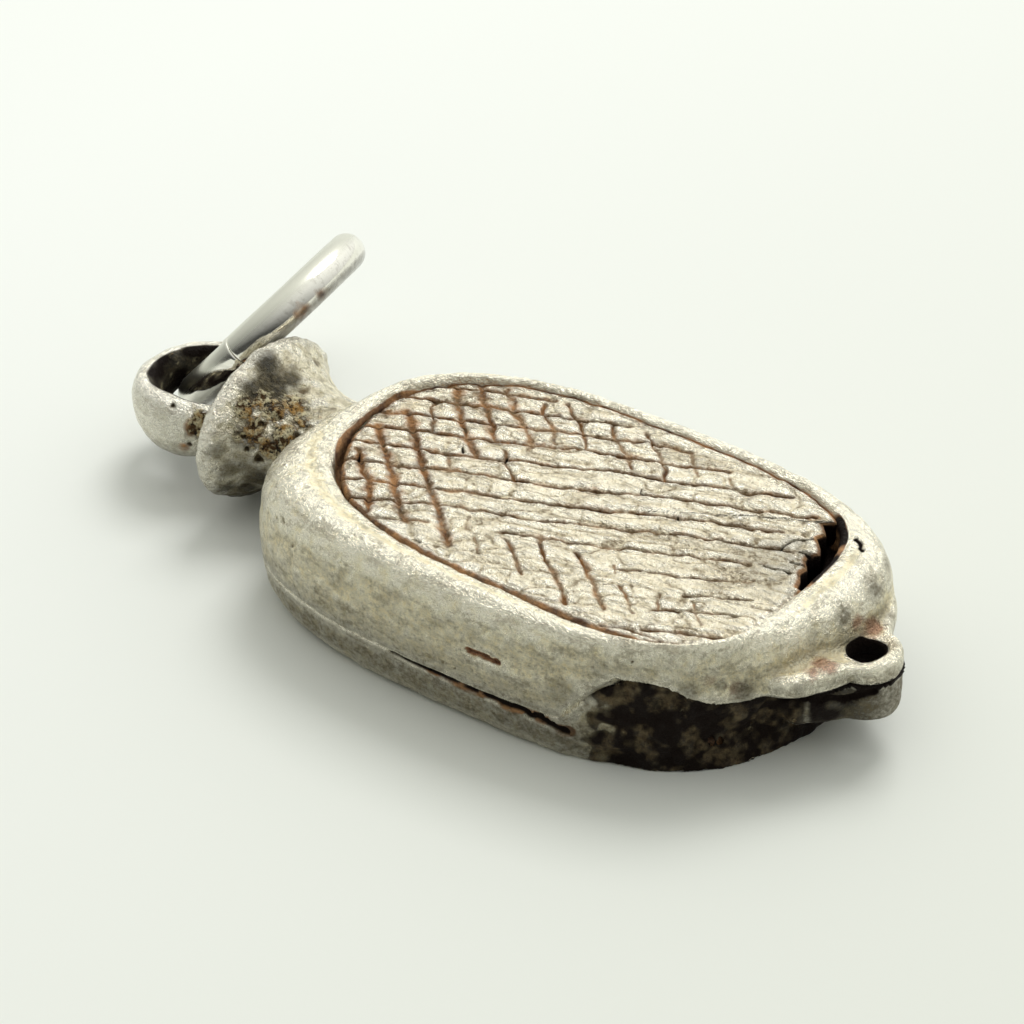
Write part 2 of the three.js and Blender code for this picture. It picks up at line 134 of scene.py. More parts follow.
def span(tree, value, low, high, to_low=0.0, to_high=1.0):
    """value moved from one range to another, and held inside it."""
    node = add(tree, "MapRange", {0: value, 1: low, 2: high, 3: to_low, 4: to_high})
    return node.outputs[0]


def rgb(red, green, blue):
    """A colour as a graphics program writes it, 0 to 255, in the linear light that Blender uses."""
    def linear(v):
        v = v / 255
        return v / 12.92 if v <= 0.04045 else ((v + 0.055) / 1.055) ** 2.4
    return (linear(red), linear(green), linear(blue), 1.0)


print("node helpers ready; mid grey is", [round(v, 3) for v in rgb(128, 128, 128)[:3]])

# %% [markdown]
# ## Table and light
# The charm lies on a pale, slightly green-white surface under soft window light. A plain diffuse
# floor takes the shadow. Metal shows what stands around it, so an evenly lit world would make it
# look like chalk. Ours is bright on the window's side and dim on the other, and a large lamp at the
# window draws the soft shadow. Rays from the camera itself see one plain pale backdrop.

# %% Floor, world and lamp
FLOOR_HALF = 600
floor_mesh = bpy.data.meshes.new("table")
floor_mesh.from_pydata([(x * FLOOR_HALF * MM, y * FLOOR_HALF * MM, 0)
                        for x, y in ((-1, -1), (1, -1), (1, 1), (-1, 1))], [], [(0, 1, 2, 3)])
into_scene("table", floor_mesh)

world = bpy.data.worlds.new("soft_studio")
bpy.context.scene.world = world
world.use_nodes = True
sky = world.node_tree
backdrop = sky.nodes["Background"]
backdrop.inputs["Color"].default_value = rgb(250, 252, 247)
WINDOW_SIDE = Vector((-0.20, 0.68, 0.70)).normalized()
DIM_TO_BRIGHT = (-0.45, 0.90, 0.07, 1.14)
towards_window = add(sky, "VectorMath", {0: add(sky, "TexCoord").outputs["Generated"],
                                         1: WINDOW_SIDE}, operation="DOT_PRODUCT").outputs["Value"]
glow = span(sky, towards_window, *DIM_TO_BRIGHT)
sky.links.new(add(sky, "Mix", {0: add(sky, "LightPath").outputs["Is Camera Ray"], 2: glow, 3: 1.0},
                  data_type="FLOAT").outputs[0], backdrop.inputs["Strength"])

paper = bpy.data.materials.new("pale_table")
paper.use_nodes = True
sheet = paper.node_tree
where = add(sheet, "SeparateXYZ", {0: add(sheet, "TexCoord").outputs["Object"]}).outputs
# Painted shade: the table's colour darkens from the far left to the near right, a painted fall-off of
# the window light.
painted_falloff_share = span(sheet, where["X"], -0.024, 0.021)
sheet.links.new(mix(sheet, painted_falloff_share, rgb(240, 242, 237), rgb(226, 228, 220)),
                sheet.nodes["Principled BSDF"].inputs["Base Color"])
sheet.nodes["Principled BSDF"].inputs["Roughness"].default_value = 0.9
floor_mesh.materials.append(paper)


def lamp(name, place, aim, size, power):
    """A square lamp in millimetres, turned to face a point."""
    light = bpy.data.lights.new(name, "AREA")
    light.size, light.energy = size * MM, power
    item = into_scene(name, light)
    item.location = Vector(place) * MM
    item.rotation_euler = (Vector(aim) - Vector(place)).to_track_quat("-Z", "Y").to_euler()


lamp("window", (-30, 165, 235), (0, 0, 0), 130, 0.335)
print("table, world and window lamp are in place")


# %% [markdown]
# ## The outline of the plates
# Each plate is an egg shape: one superellipse for the neck's half and a squarer one for the tab's.
# Both the plate and the window that it sits in follow this outline, so we set it down first. The
# front plate is broken away at the far tab corner and chipped at the neck. Towards the near tab
# corner its edge runs into the window's slope without a gap, and its far side reaches a little
# further and lies a little higher.

# %% Plate outline
PLATE_NECK_SHARE = 0.538
PLATE_POWERS = (2.65, 3.9)
PLATE_GRID = (384, 240)
PLATE_CROWN, PLATE_ROUNDING = 0.12, 0.17
FRONT_LIFT = 0.19
NOTCH_TURN, NOTCH_WIDTH, NOTCH_DEPTH = -2.87, 0.17, 0.15
BREAK_LINE = ((5.76, 3.15), (6.12, 2.76), (6.00, 2.50), (6.30, 2.20), (6.44, 1.98), (6.20, 1.74),
              (6.28, 1.52), (6.50, 1.26), (6.45, 1.00), (6.64, 0.70), (6.76, 0.35))
BREAK_TURNS, UNBROKEN = (2, 35), 99
FLUSH_TURNS, FLUSH_REACH = (-32, 2), 0.15
FAR_REACH, FAR_RISE = 0.16, 0.11


def fade(value, width=1.0):
    """value / width, held between 0 and 1."""
    return np.clip(value / width, 0, 1)


def plate_frame(node):
    """Middle, half length, half width, lowest and highest level of a plate, in millimetres."""
    low, high = (np.array(corner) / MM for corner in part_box(node))
    half_width = (high[1] - low[1]) / 2
    length = high[0] - low[0]
    middle = np.array([low[0] + length * PLATE_NECK_SHARE, low[1] + half_width])
    reach = (length * PLATE_NECK_SHARE, length * (1 - PLATE_NECK_SHARE))
    return middle, reach, half_width, low[2], high[2]


def between(turn, limits, soft=5):
    """1 for directions between two limits in degrees, with soft ends."""
    turn = np.degrees(turn)
    return fade(turn - limits[0], soft) * fade(limits[1] - turn, soft)


def plate_edge(angle, reach, half_width, broken):
    """Distance from the plate's middle to its edge in each direction."""
    c, s = np.cos(angle), np.sin(angle)
    end = np.where(c >= 0, reach[1], reach[0])
    power = np.where(c >= 0, PLATE_POWERS[1], PLATE_POWERS[0])
    edge = (np.abs(c / end) ** power + np.abs(s / half_width) ** power) ** (-1 / power)
    if broken:
        edge = edge + FLUSH_REACH * between(angle, FLUSH_TURNS) + FAR_REACH * fade(3 * s + 0.6)
        shift = (reach[0] - reach[1]) / 2
        line = np.array(BREAK_LINE) - (shift, 0)
        turn, far = np.arctan2(line[:, 1], line[:, 0]), np.hypot(line[:, 0], line[:, 1])
        order = np.argsort(turn)
        cut = np.interp(angle, turn[order], far[order], left=UNBROKEN, right=UNBROKEN)
        edge = np.minimum(edge, cut)
        edge = edge - NOTCH_DEPTH * np.exp(-(((angle - NOTCH_TURN) / NOTCH_WIDTH) ** 2))
    return edge


print("plate middle, reach, half width:", [np.round(v, 2) for v in plate_frame("front_panel")[:3]])

# %% [markdown]
# ## Fine skins over the CAD solids
# CAD solids have hard, flat facets, and a casting that has been worn for years has none. A voxel
# Remesh gives an even skin of small quads, and smoothing rubs its edges down. Blender's voxels have
# a smallest size of 0.1 mm, so we work on a copy that is 1000 times larger, where 1 unit is 1 mm,
# and shrink it again at the end.

# %% Remesh helper
def fine_copy(node, name, voxel, rounds):
    """An evenly meshed copy of a CAD node in millimetres, with its edges rubbed down."""
    mesh = frame["nodes"][node].data.copy()
    mesh.transform(Matrix.Scale(1 / MM, 4))
    welded = bmesh.new()
    welded.from_mesh(mesh)
    bmesh.ops.remove_doubles(welded, verts=welded.verts, dist=1e-4)
    welded.to_mesh(mesh)
    welded.free()
    piece = into_scene(name, mesh)
    remesh = piece.modifiers.new("Even skin", "REMESH")
    remesh.mode, remesh.voxel_size = "VOXEL", voxel
    relax = piece.modifiers.new("Rubbed edges", "SMOOTH")
    relax.factor, relax.iterations = 0.5, rounds
    bpy.context.view_layer.update()
    shape = piece.evaluated_get(bpy.context.evaluated_depsgraph_get())
    fine = bpy.data.meshes.new_from_object(shape)
    piece.modifiers.clear()
    piece.data = fine
    fine.name = name
    print(f"{name}: {len(fine.polygons)} faces")
    return piece


# %% [markdown]
# ## Working on all points at once
# A fine skin has about 100,000 points, too many for slow loops. NumPy moves them all in one step.
# `lumps` is smooth noise from a seeded lattice, so it is the same on every run.

# %% Point helpers
def points_of(piece):
    """All points of a piece, in millimetres."""
    flat = np.empty(len(piece.data.vertices) * 3)
    piece.data.vertices.foreach_get("co", flat)
    return flat.reshape(-1, 3)


def normals_of(piece):
    """The outward direction at each point."""
    flat = np.empty(len(piece.data.vertices) * 3)
    piece.data.vertex_normals.foreach_get("vector", flat)
    return flat.reshape(-1, 3)


def move_points(piece, places):
    """Puts the points of a piece at new places."""
    piece.data.vertices.foreach_set("co", places.ravel())
    piece.data.update()


def lumps(places, size, seed):
    """Smooth noise from -1 to 1, with lumps of a size in millimetres."""
    side = 32
    lattice = np.random.default_rng(seed).uniform(-1, 1, (side, side, side))
    cell = places / size + side
    corner = np.floor(cell).astype(int)
    share = cell - corner
    share = share * share * (3 - 2 * share)
    total = np.zeros(len(places))
    for step in np.ndindex(2, 2, 2):
        weight = np.prod(np.where(step, share, 1 - share), axis=1)
        total += weight * lattice[tuple(((corner + step) % side).T)]
    return total


def save_mask(piece, name, values):
    """Stores a number for each point, which the material reads by its name."""
    mask = piece.data.attributes.new(name, "FLOAT", "POINT")
    mask.data.foreach_set("value", fade(values).astype(np.float32))


def relief(piece, rounds):
    """How far each point stands above (+) or below (-) the smoothed surface, in millimetres."""
    places, normals = points_of(piece), normals_of(piece)
    edges = np.empty(len(piece.data.edges) * 2, int)
    piece.data.edges.foreach_get("vertices", edges)
    a, b = edges.reshape(-1, 2).T
    count = np.bincount(a, minlength=len(places)) + np.bincount(b, minlength=len(places))
    smooth = places.copy()
    for _ in range(rounds):
        total = np.zeros_like(smooth)
        for axis in range(3):
            total[:, axis] = (np.bincount(a, smooth[b, axis], len(places))
                              + np.bincount(b, smooth[a, axis], len(places)))
        smooth = total / count[:, None]
    return np.einsum("ij,ij->i", places - smooth, normals)


def tree_of(piece):
    """A search tree that finds the nearest place on a piece, or where a ray meets it."""
    data = piece.data
    return BVHTree.FromPolygons([v.co for v in data.vertices], [p.vertices for p in data.polygons])


def photo_spot(trees, pixel):
    """The first place that the camera sees behind a pixel of the photograph, in millimetres."""
    across = (pixel[0] - PICTURE / 2) / PIXELS_PER_MM
    down = (pixel[1] - PICTURE / 2) / PIXELS_PER_MM
    ray = (RIGHT * across - UP * down - BACK * DISTANCE).normalized()
    hits = [tree.ray_cast(EYE, ray) for tree in trees]
    hits = [(hit[3], hit[0]) for hit in hits if hit[0] is not None]
    return np.array(min(hits)[1]) if hits else None


def piece_of(name, places, faces):
    """A new piece from points in millimetres and faces, with every face turned outward."""
    mesh = bpy.data.meshes.new(name)
    mesh.from_pydata(places, [], faces)
    shape = bmesh.new()
    shape.from_mesh(mesh)
    bmesh.ops.recalc_face_normals(shape, faces=shape.faces)
    shape.to_mesh(mesh)
    shape.free()
    mesh.update()
    print(f"{name}: {len(mesh.polygons)} faces")
    return into_scene(name, mesh)


print("a sample of the noise:", np.round(lumps(np.eye(3) * 0.4, 1.0, 1), 3))


# %% [markdown]
# ## The two shells
# Each half of the bottle is a thin casting with a soft rim. The voxels are 0.065 mm, small against
# the rim and the dish of the hanging tab. The walls get their lumps further on, and the recessed end
# wall by the tab is left rough, as it came from the mould.

# %% Fine shells
front = fine_copy("front_shell", "front_half", 0.065, 26)
back = fine_copy("back_shell", "back_half", 0.065, 26)

# %% [markdown]
# ## Skins of the neck and the stopper
# The funnel and the eye are the most worn and the dirtiest parts, because the ring rubs on them.

# %% Fine neck and stopper
neck = fine_copy("funnel_neck", "funnel", 0.05, 30)
eye = fine_copy("stopper_eye", "stopper", 0.045, 26)


# %% [markdown]
# ## Solder in the seam
# The halves were soldered, and the seam was filed flush. Smoothing rounds both edges of a seam into
# a wide groove, so we put the edge points back on the sharp CAD surface, which leaves a hairline,
# and push the face of one half into the other. The slit in the photograph is carved further on.

# %% Close the seam
SEAM_REACH, SOLDER_REACH, SOLDER_DEPTH = 0.32, 0.16, 0.06


def close_seam(piece, node, other):
    """Puts a half's rounded seam edge back on its CAD surface."""
    mesh = frame["nodes"][node].data
    sharp = BVHTree.FromPolygons([v.co / MM for v in mesh.vertices], [p.vertices for p in mesh.polygons])
    rival = tree_of(other)
    places = points_of(piece)
    for i, point in enumerate(places.copy()):
        if rival.find_nearest(point, SEAM_REACH)[0] is not None:
            places[i] = sharp.find_nearest(point)[0]
    move_points(piece, places)


def fill_seam(piece, other):
    """Pushes the seam's face into the other half, as solder fills the gap."""
    rival = tree_of(other)
    places, normals = points_of(piece), normals_of(piece)
    for i, point in enumerate(places.copy()):
        spot, _, _, gap = rival.find_nearest(point, SOLDER_REACH)
        if spot is not None and (np.array(spot) - point) @ normals[i] > 0.4 * gap:
            places[i] += normals[i] * (gap + SOLDER_DEPTH)
    move_points(piece, places)


close_seam(front, "front_shell", back)
close_seam(back, "back_shell", front)
fill_seam(back, front)
print("the seam is closed")

# %% [markdown]
# ## Wear and roughness in the real surface
# `roughen` pushes points in or out by noise of several sizes. `dent` presses single pits where the
# photograph shows them: a ray from the camera through the pixel finds the place on the skin, so a
# pit lies on the metal from every side. No point may sink below the table.

# %% Sculpting helpers
def roughen(piece, layers, seed, share=1.0):
    """Moves each point along its normal by noise. layers is (lump size, height) in millimetres."""
    places, normals = points_of(piece), normals_of(piece)
    height = sum(depth * lumps(places, size, seed + k) for k, (size, depth) in enumerate(layers))
    places = places + normals * (height * share)[:, None]
    places[:, 2] = np.maximum(places[:, 2], 0)
    move_points(piece, places)


def dent(piece, spots):
    """Presses pits at photograph pixels. A spot is (pixel, radius, depth), in millimetres."""
    tree, places, normals = tree_of(piece), points_of(piece), normals_of(piece)
    push, depth_mask = np.zeros(len(places)), np.zeros(len(places))
    for pixel, radius, depth in spots:
        middle = photo_spot([tree], pixel)
        if middle is None:
            continue
        off = places - middle
        uneven = 1 + 0.5 * lumps(places, radius * 0.8, 5)
        bowl = fade(1 - (np.linalg.norm(off, axis=1) / (radius * uneven)) ** 2)
        push = np.maximum(push, depth * bowl)
        depth_mask = np.maximum(depth_mask, bowl)
    move_points(piece, places - normals * push[:, None])
    return depth_mask


def furrow(piece, pixels, width, depth, seed=7):
    """Cuts a ragged furrow along a line of photograph pixels, and returns its mask."""
    tree, places, normals = tree_of(piece), points_of(piece), normals_of(piece)
    line = [photo_spot([tree], pixel) for pixel in pixels]
    line = [spot for spot in line if spot is not None]
    moved = places + 0.3 * width * lumps(places, width * 2, seed)[:, None]
    reach = width * (1 + 0.6 * lumps(places, width * 1.5, seed + 1))
    bowl = np.zeros(len(places))
    for a, b in zip(line, line[1:]):
        way = b - a
        share = fade(((moved - a) @ way) / (way @ way))
        gap = np.linalg.norm(moved - a - share[:, None] * way, axis=1) / reach
        bowl = np.maximum(bowl, fade(1 - gap ** 2))
    move_points(piece, places - normals * (depth * bowl)[:, None])
    return bowl


def window_share(piece, node):
    """Distance from the plate's middle, where 1 is the plate's edge, and its direction."""
    middle, reach, half_width, _, _ = plate_frame(node)
    flat = points_of(piece)[:, :2] - middle
    turn = np.arctan2(flat[:, 1], flat[:, 0])
    return np.hypot(flat[:, 0], flat[:, 1]) / plate_edge(turn, reach, half_width, False), turn


def tab_angle(places):
    """The angle of each point away from the hanging tab, seen from above, in degrees."""
    low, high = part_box("front_panel")
    middle = (low + high) / 2 / MM
    flat = places[:, :2] - np.array(middle[:2])
    return np.degrees(np.abs(np.arctan2(flat[:, 1], flat[:, 0])))


print("sculpting helpers ready")

# %% [markdown]
# ## Cast walls
# Most of the wall is smooth from handling. The end wall by the tab is recessed and was never
# polished, so it gets strong lumps there, which fade out round the corners. Single pits, a scar, the
# slit at the foot of the near wall and the gap under the tab's lip are cut in last.

# %% Shape the shells
WALL_LAYERS = ((3.2, 0.035), (1.1, 0.018), (0.45, 0.016), (0.22, 0.011), (0.12, 0.005))
RAW_LAYERS = ((0.9, 0.09), (0.36, 0.07), (0.17, 0.035))
for half in (front, back):
    roughen(half, WALL_LAYERS, 11)


def raw_share(piece):
    """1 on the recessed end wall by the tab, and 0 elsewhere."""
    places = points_of(piece)
    ragged = 6 * lumps(places, 0.6, 29) + 5 * lumps(places, 0.25, 30)
    corner = fade(56 + ragged - tab_angle(places), 8)
    wall = fade(places[:, 0] - 6.2, 0.5) * fade(11.2 - places[:, 0], 0.4)
    return corner * wall


def lift_ledge(piece, node):
    """Raises the window's inner slope, so that the front plate lies nearly flush with the rim."""
    places = points_of(piece)
    slope = fade(1.105 - window_share(piece, node)[0], 0.075)
    places[:, 2] += FRONT_LIFT * slope * fade(places[:, 2] - 3.0, 0.4)
    move_points(piece, places)


lift_ledge(front, "front_panel")
back_raw = raw_share(back)
roughen(back, RAW_LAYERS, 31, back_raw * fade(points_of(back)[:, 2] + 0.25, 0.5))
FRONT_PITS = (((283, 521), 0.07, 0.10), ((276, 518), 0.05, 0.05), ((292, 546), 0.06, 0.08),
              ((340, 563), 0.05, 0.05), ((443, 663), 0.05, 0.06), ((454, 668), 0.06, 0.07),
              ((632, 663), 0.05, 0.05))
SCAR = ((468, 651), (477, 654), (486, 658), (497, 664))
RIM_CRACK = ((856, 538), (860, 544), (862, 550))
SEAM_SLIT = ((392, 649), (420, 663), (450, 678), (480, 693), (510, 706), (540, 719), (567, 732))
LIP_GAP = ((786, 697), (800, 698), (815, 699), (830, 699), (845, 699), (860, 697), (876, 692))
front_pits = dent(front, FRONT_PITS)
scar = furrow(front, SCAR, 0.12, 0.09)
rim_crack = furrow(front, RIM_CRACK, 0.07, 0.12)
slit_stain = furrow(back, SEAM_SLIT, 0.22, 0)
seam_slit = furrow(back, SEAM_SLIT, 0.14, 0.16)
lip_gap = furrow(back, LIP_GAP, 0.16, 0.14)
print("raw end wall covers", round(float((back_raw > 0.5).mean()), 3), "of the back half")

# %% [markdown]
# ## Crust and wear of the neck and stopper
# The funnel's outside carries a crust of old residue, lumpy like dried paint. Lumps of four sizes
# roughen it, and pits are pressed where the photograph shows them. The left wall of the eye is drawn
# down, so that no light comes in under it and its hole looks dark.

# %% Shape the neck and stopper
NECK_LAYERS = ((1.6, 0.04), (0.6, 0.036), (0.25, 0.028), (0.13, 0.012))
EYE_LAYERS = ((1.4, 0.03), (0.5, 0.020), (0.22, 0.010))
roughen(neck, NECK_LAYERS, 41)
roughen(eye, EYE_LAYERS, 47)
NECK_PITS = (((277, 417), 0.16, 0.16), ((296, 437), 0.16, 0.14), ((242, 436), 0.15, 0.10),
             ((258, 460), 0.20, 0.12), ((262, 425), 0.15, 0.10), ((247, 449), 0.10, 0.08))
EYE_PITS = (((173, 405), 0.10, 0.08), ((190, 445), 0.12, 0.05), ((205, 420), 0.12, 0.06))
neck_pits, eye_pits = dent(neck, NECK_PITS), dent(eye, EYE_PITS)
EYE_MIDDLE = np.array((-10.148, -0.544))
EYE_LEFT, EYE_DEEPER = math.radians(175), 0.42


def deepen_eye(piece):
    """Lets the left wall of the eye reach further down, so that its hole looks deep and dark."""
    places = points_of(piece)
    turn = np.arctan2(*(places[:, :2] - EYE_MIDDLE).T[::-1])
    left = fade(np.cos(turn - EYE_LEFT) - 0.72, 0.24)
    places[:, 2] -= EYE_DEEPER * left * left * (3 - 2 * left) * fade(2.1 - places[:, 2], 0.4)
    move_points(piece, places)


deepen_eye(eye)
print(len(NECK_PITS), "pits in the neck and", len(EYE_PITS), "in the eye")

# %% [markdown]
# ## The cross-hatched plates
# The plate's grooves were cut by hand in two directions. The long cuts rise towards the tab and
# run the whole way. The short ones fall, and in the middle they are worn away. We store each cut
# as a few points from the plate's middle. A bump map would look flat from the side, so the cuts go
# into the mesh: the plate is a fine grid, and each point drops by its distance from the nearest cut.

# %% The cuts
RISING_CUTS = (
    ((-5.05, 2.89), (-4.6, 3.09), (-3.95, 3.29), (-3.15, 3.59)),
    ((-5.35, 1.99), (-4.7, 2.24), (-3.9, 2.54), (-3.15, 2.79), (-2.15, 3.24), (-1.75, 3.34),
     (-0.85, 3.74)),
    ((-5.4, 1.09), (-4.55, 1.44), (-3.75, 1.79), (-2.95, 2.09), (-1.95, 2.54), (-0.95, 2.94),
     (0.15, 3.44), (1.25, 3.74)),
    ((-6.15, -0.01), (-5.75, 0.16), (-4.95, 0.49), (-3.95, 0.84), (-2.95, 1.29), (-1.95, 1.74),
     (-1.15, 2.14), (0.15, 2.59), (1.05, 2.89), (2.55, 3.49)),
    ((-5.75, -0.66), (-4.95, -0.41), (-3.95, -0.11), (-3.15, 0.24), (-2.35, 0.69), (-1.45, 1.04),
     (-0.65, 1.44), (0.25, 1.84), (1.35, 2.24), (2.45, 2.69), (3.05, 2.94), (3.55, 2.99),
     (3.85, 3.24), (4.55, 3.59)),
    ((-4.95, -1.31), (-4.55, -1.21), (-3.75, -0.76), (-2.95, -0.51), (-2.05, -0.16), (-1.25, 0.09),
     (-0.15, 0.59), (1.05, 1.19), (2.25, 1.74), (3.25, 2.14), (3.85, 2.34), (4.45, 2.69),
     (5.55, 3.19)),
    ((-4.25, -1.96), (-3.85, -1.81), (-2.95, -1.46), (-1.85, -1.01), (-0.75, -0.56), (0.45, 0.04),
     (1.05, 0.24), (1.85, 0.69), (2.75, 1.04), (3.35, 1.39), (4.55, 1.89), (5.15, 2.19)),
    ((-3.65, -2.56), (-3.35, -2.36), (-2.25, -1.96), (-1.45, -1.66), (-0.35, -1.26), (0.75, -0.71),
     (1.75, -0.26), (2.35, 0.09), (3.45, 0.59), (4.65, 1.09), (5.85, 1.59)),
    ((-3.05, -3.11), (-2.65, -2.91)),
    ((-0.75, -2.16), (0.05, -1.86), (1.15, -1.46), (1.75, -1.21), (2.25, -0.91), (3.45, -0.41),
     (4.05, -0.06), (4.75, 0.34), (5.25, 0.44)),
    ((2.55, -1.76), (3.55, -1.26), (4.05, -1.06), (5.15, -0.46), (5.65, -0.11)),
    ((4.65, -1.66), (5.15, -1.36), (6.15, -0.81)),
    ((4.35, -2.56), (5.35, -2.01), (6.15, -1.56)),
    ((4.55, -3.46), (5.05, -3.16), (6.05, -2.66), (6.35, -2.46)),
    ((3.55, -3.81), (4.15, -3.61), (5.25, -3.56), (5.95, -3.31), (6.45, -3.06)),
)
FALLING_CUTS = (
    ((-5.85, 1.84), (-5.8, 1.44), (-5.45, 1.04), (-5.05, 0.49)),
    ((-5.65, 2.54), (-5.35, 1.99), (-5, 1.74), (-4.65, 1.29), (-4.05, 0.74), (-3.35, 0.19)),
    ((-5.25, 3.04), (-5.05, 2.74), (-4.65, 2.34), (-3.85, 1.64), (-3.45, 1.14)),
    ((-4.55, 3.24), (-4.05, 2.94), (-3.9, 2.59), (-3.25, 2.14), (-2.7, 1.69), (-2.45, 1.44)),
    ((-3.3, 3.29), (-3.15, 2.94), (-2.9, 2.74), (-2.35, 2.39), (-1.95, 1.94)),
    ((-2.75, 3.64), (-2.3, 3.24), (-1.95, 3.04), (-1.65, 2.74), (-1.2, 2.24)),
    ((-1.15, 3.44), (-0.75, 3.04), (-0.35, 2.74), (-0.05, 2.54), (0.35, 2.14)),
    ((-0.25, 3.74), (0.15, 3.39), (0.75, 2.89), (1, 2.69), (1.35, 2.29)),
    ((1.25, 3.69), (1.55, 3.29), (1.95, 2.94)),
    ((2.75, 3.29), (3.15, 2.94)),
    ((-6.25, 0.89), (-5.95, 0.74), (-5.25, -0.01), (-4.45, -0.81), (-3.85, -1.36), (-3.05, -2.01),
     (-2.35, -2.76), (-1.6, -3.36)),
    ((-6.45, -0.06), (-5.75, -0.76), (-4.95, -1.51), (-4.2, -2.26), (-3.55, -2.91), (-3.15, -3.16)),
    ((-6.2, -1.26), (-5.55, -1.96), (-5.15, -2.26), (-4.55, -2.91), (-4.3, -3.31)),
    ((-3.95, -0.26), (-3.6, -0.66)),
    ((-2.9, 0.84), (-2.7, 0.54), (-2.15, 0.14), (-1.95, -0.11)),
    ((-1.85, -2.16), (-1.6, -2.56)),
    ((-1.25, -2.76), (-0.75, -3.26)),
    ((-0.45, -2.36), (0.05, -2.76), (0.65, -3.36)),
    ((0.15, -1.76), (0.85, -2.51), (1.75, -3.11), (2.35, -3.76)),
    ((1.35, -1.76), (2.25, -2.46), (2.65, -2.76), (3.3, -3.36)),
    ((3.05, -2.26), (4, -3.06)),
    ((2.45, -1.66), (2.7, -1.96)),
    ((4.05, -1.96), (4.45, -2.56)),
    ((4.95, -1.76), (5.6, -2.46)),
)
print(len(RISING_CUTS), "rising cuts and", len(FALLING_CUTS), "falling cuts")

# %% [markdown]
# ## How deep the cuts go
# The graver's path wavers, its pressure changes, and the metal beside a cut sinks a little. One
# function gives both the cut's own depth and that softer neighbourhood, which holds the brown.

# %% Depth of the cuts
def cut_depth(flat, cuts, seed):
    """For each point: how deep the nearest cuts are, and how near they are, both 0 to 1."""
    spot = np.column_stack([flat, np.zeros(len(flat))])
    moved = flat + 0.055 * np.column_stack([lumps(spot, 0.34, seed), lumps(spot, 0.34, seed + 1)])
    moved = moved + 0.022 * np.column_stack([lumps(spot, 0.12, seed + 4), lumps(spot, 0.12, seed + 5)])
    press = 0.78 + 0.50 * lumps(spot, 0.6, seed + 2)
    waver = 1 + 0.5 * lumps(spot, 0.20, seed + 3)
    deep, near = np.zeros(len(flat)), np.zeros(len(flat))
    for points, strength, width in cuts:
        points = np.array(points)
        for a, b in zip(points, points[1:]):
            way = b - a
            share = fade(((moved - a) @ way) / (way @ way))
            gap = np.linalg.norm(moved - a - share[:, None] * way, axis=1) / (width * waver)
            deep = np.maximum(deep, strength * press * fade(1.35 * (1 - gap)))
            near = np.maximum(near, strength * np.exp(-((gap / 2.3) ** 2)))
    return fade(deep), fade(near)


sample = cut_depth(np.array([[-5.35, 1.99], [0, 0]]), [(RISING_CUTS[1], 1.0, 0.1)], 1)
print("depth on a cut and away from it:", np.round(sample[0], 2))

# %% [markdown]
# ## Strength of each cut
# A graver doesn't press evenly. The first falling cuts by the neck are the widest and fullest of
# residue, and the rising cuts in the middle are nearly gone. Hairline cracks start at the broken
# corner, and fine wrinkles run along the rising cuts.

# %% Build the plates
RISING_STRENGTH = (0.9, 1.0, 1.0, 1.0, 0.95, 0.9, 0.9, 0.85, 0.8, 0.75, 0.65, 0.6, 0.7, 0.9, 0.8)
FALLING_STRENGTH = (0.8, 0.95, 0.95, 0.9, 0.9, 0.9, 0.85, 0.8, 0.8, 0.7, 1.0, 1.0, 1.0, 0.7, 0.8,
                    0.6, 0.5, 0.8, 0.95, 0.95, 0.6, 0.5, 0.5, 0.6)
FINE_CUT, BROAD_CUT = 0.060, 0.096
BROAD_FALLING = (1, 2, 3, 10, 11, 12)
RISING_WAY = math.radians(22.8)
NECK_RUN, NECK_CUTS = 2.4, 9
CUT_DEPTH, CUT_SINK, EDGE_FALL, EDGE_DIRT = 0.115, 0.04, 0.10, 0.14
WRINKLE_DEPTH, CRACK_WIDTH, CRACK_DEPTH = 0.028, 0.045, 0.20


def to_the_neck(line):
    """A rising cut carried on to the neck's edge of the plate."""
    x, y = line[0]
    return ((x - NECK_RUN * math.cos(RISING_WAY), y - NECK_RUN * math.sin(RISING_WAY)),
            (x - NECK_RUN / 2 * math.cos(RISING_WAY), y + 0.05 - NECK_RUN / 2 * math.sin(RISING_WAY))
            ) + line


FINE_CUTS = [(to_the_neck(line) if i < NECK_CUTS else line, strength, FINE_CUT)
             for i, (line, strength) in enumerate(zip(RISING_CUTS, RISING_STRENGTH))]
CUTS = FINE_CUTS + [(line, strength, BROAD_CUT if i in BROAD_FALLING else FINE_CUT)
                    for i, (line, strength) in enumerate(zip(FALLING_CUTS, FALLING_STRENGTH))]
CRACKS = (((5.52, 1.42), (5.56, 1.92), (5.72, 2.15), (5.94, 2.39)), ((6.02, 1.74), (6.24, 1.80)),
          ((5.58, 0.66), (5.88, 0.71), (6.2, 0.79)), ((6.02, 1.2), (6.36, 1.32)),
          ((1.15, 1.5), (1.2, 1.35), (1.6, 1.35)), ((2.6, 1.05), (2.75, 1.0)),
          ((-2.75, 0.65), (-2.65, 0.5)), ((-2.45, -3.7), (-2.3, -3.75)),
          ((-6.1, -1.35), (-5.95, -1.6)), ((-3.95, 0.35), (-3.75, 0.15)))


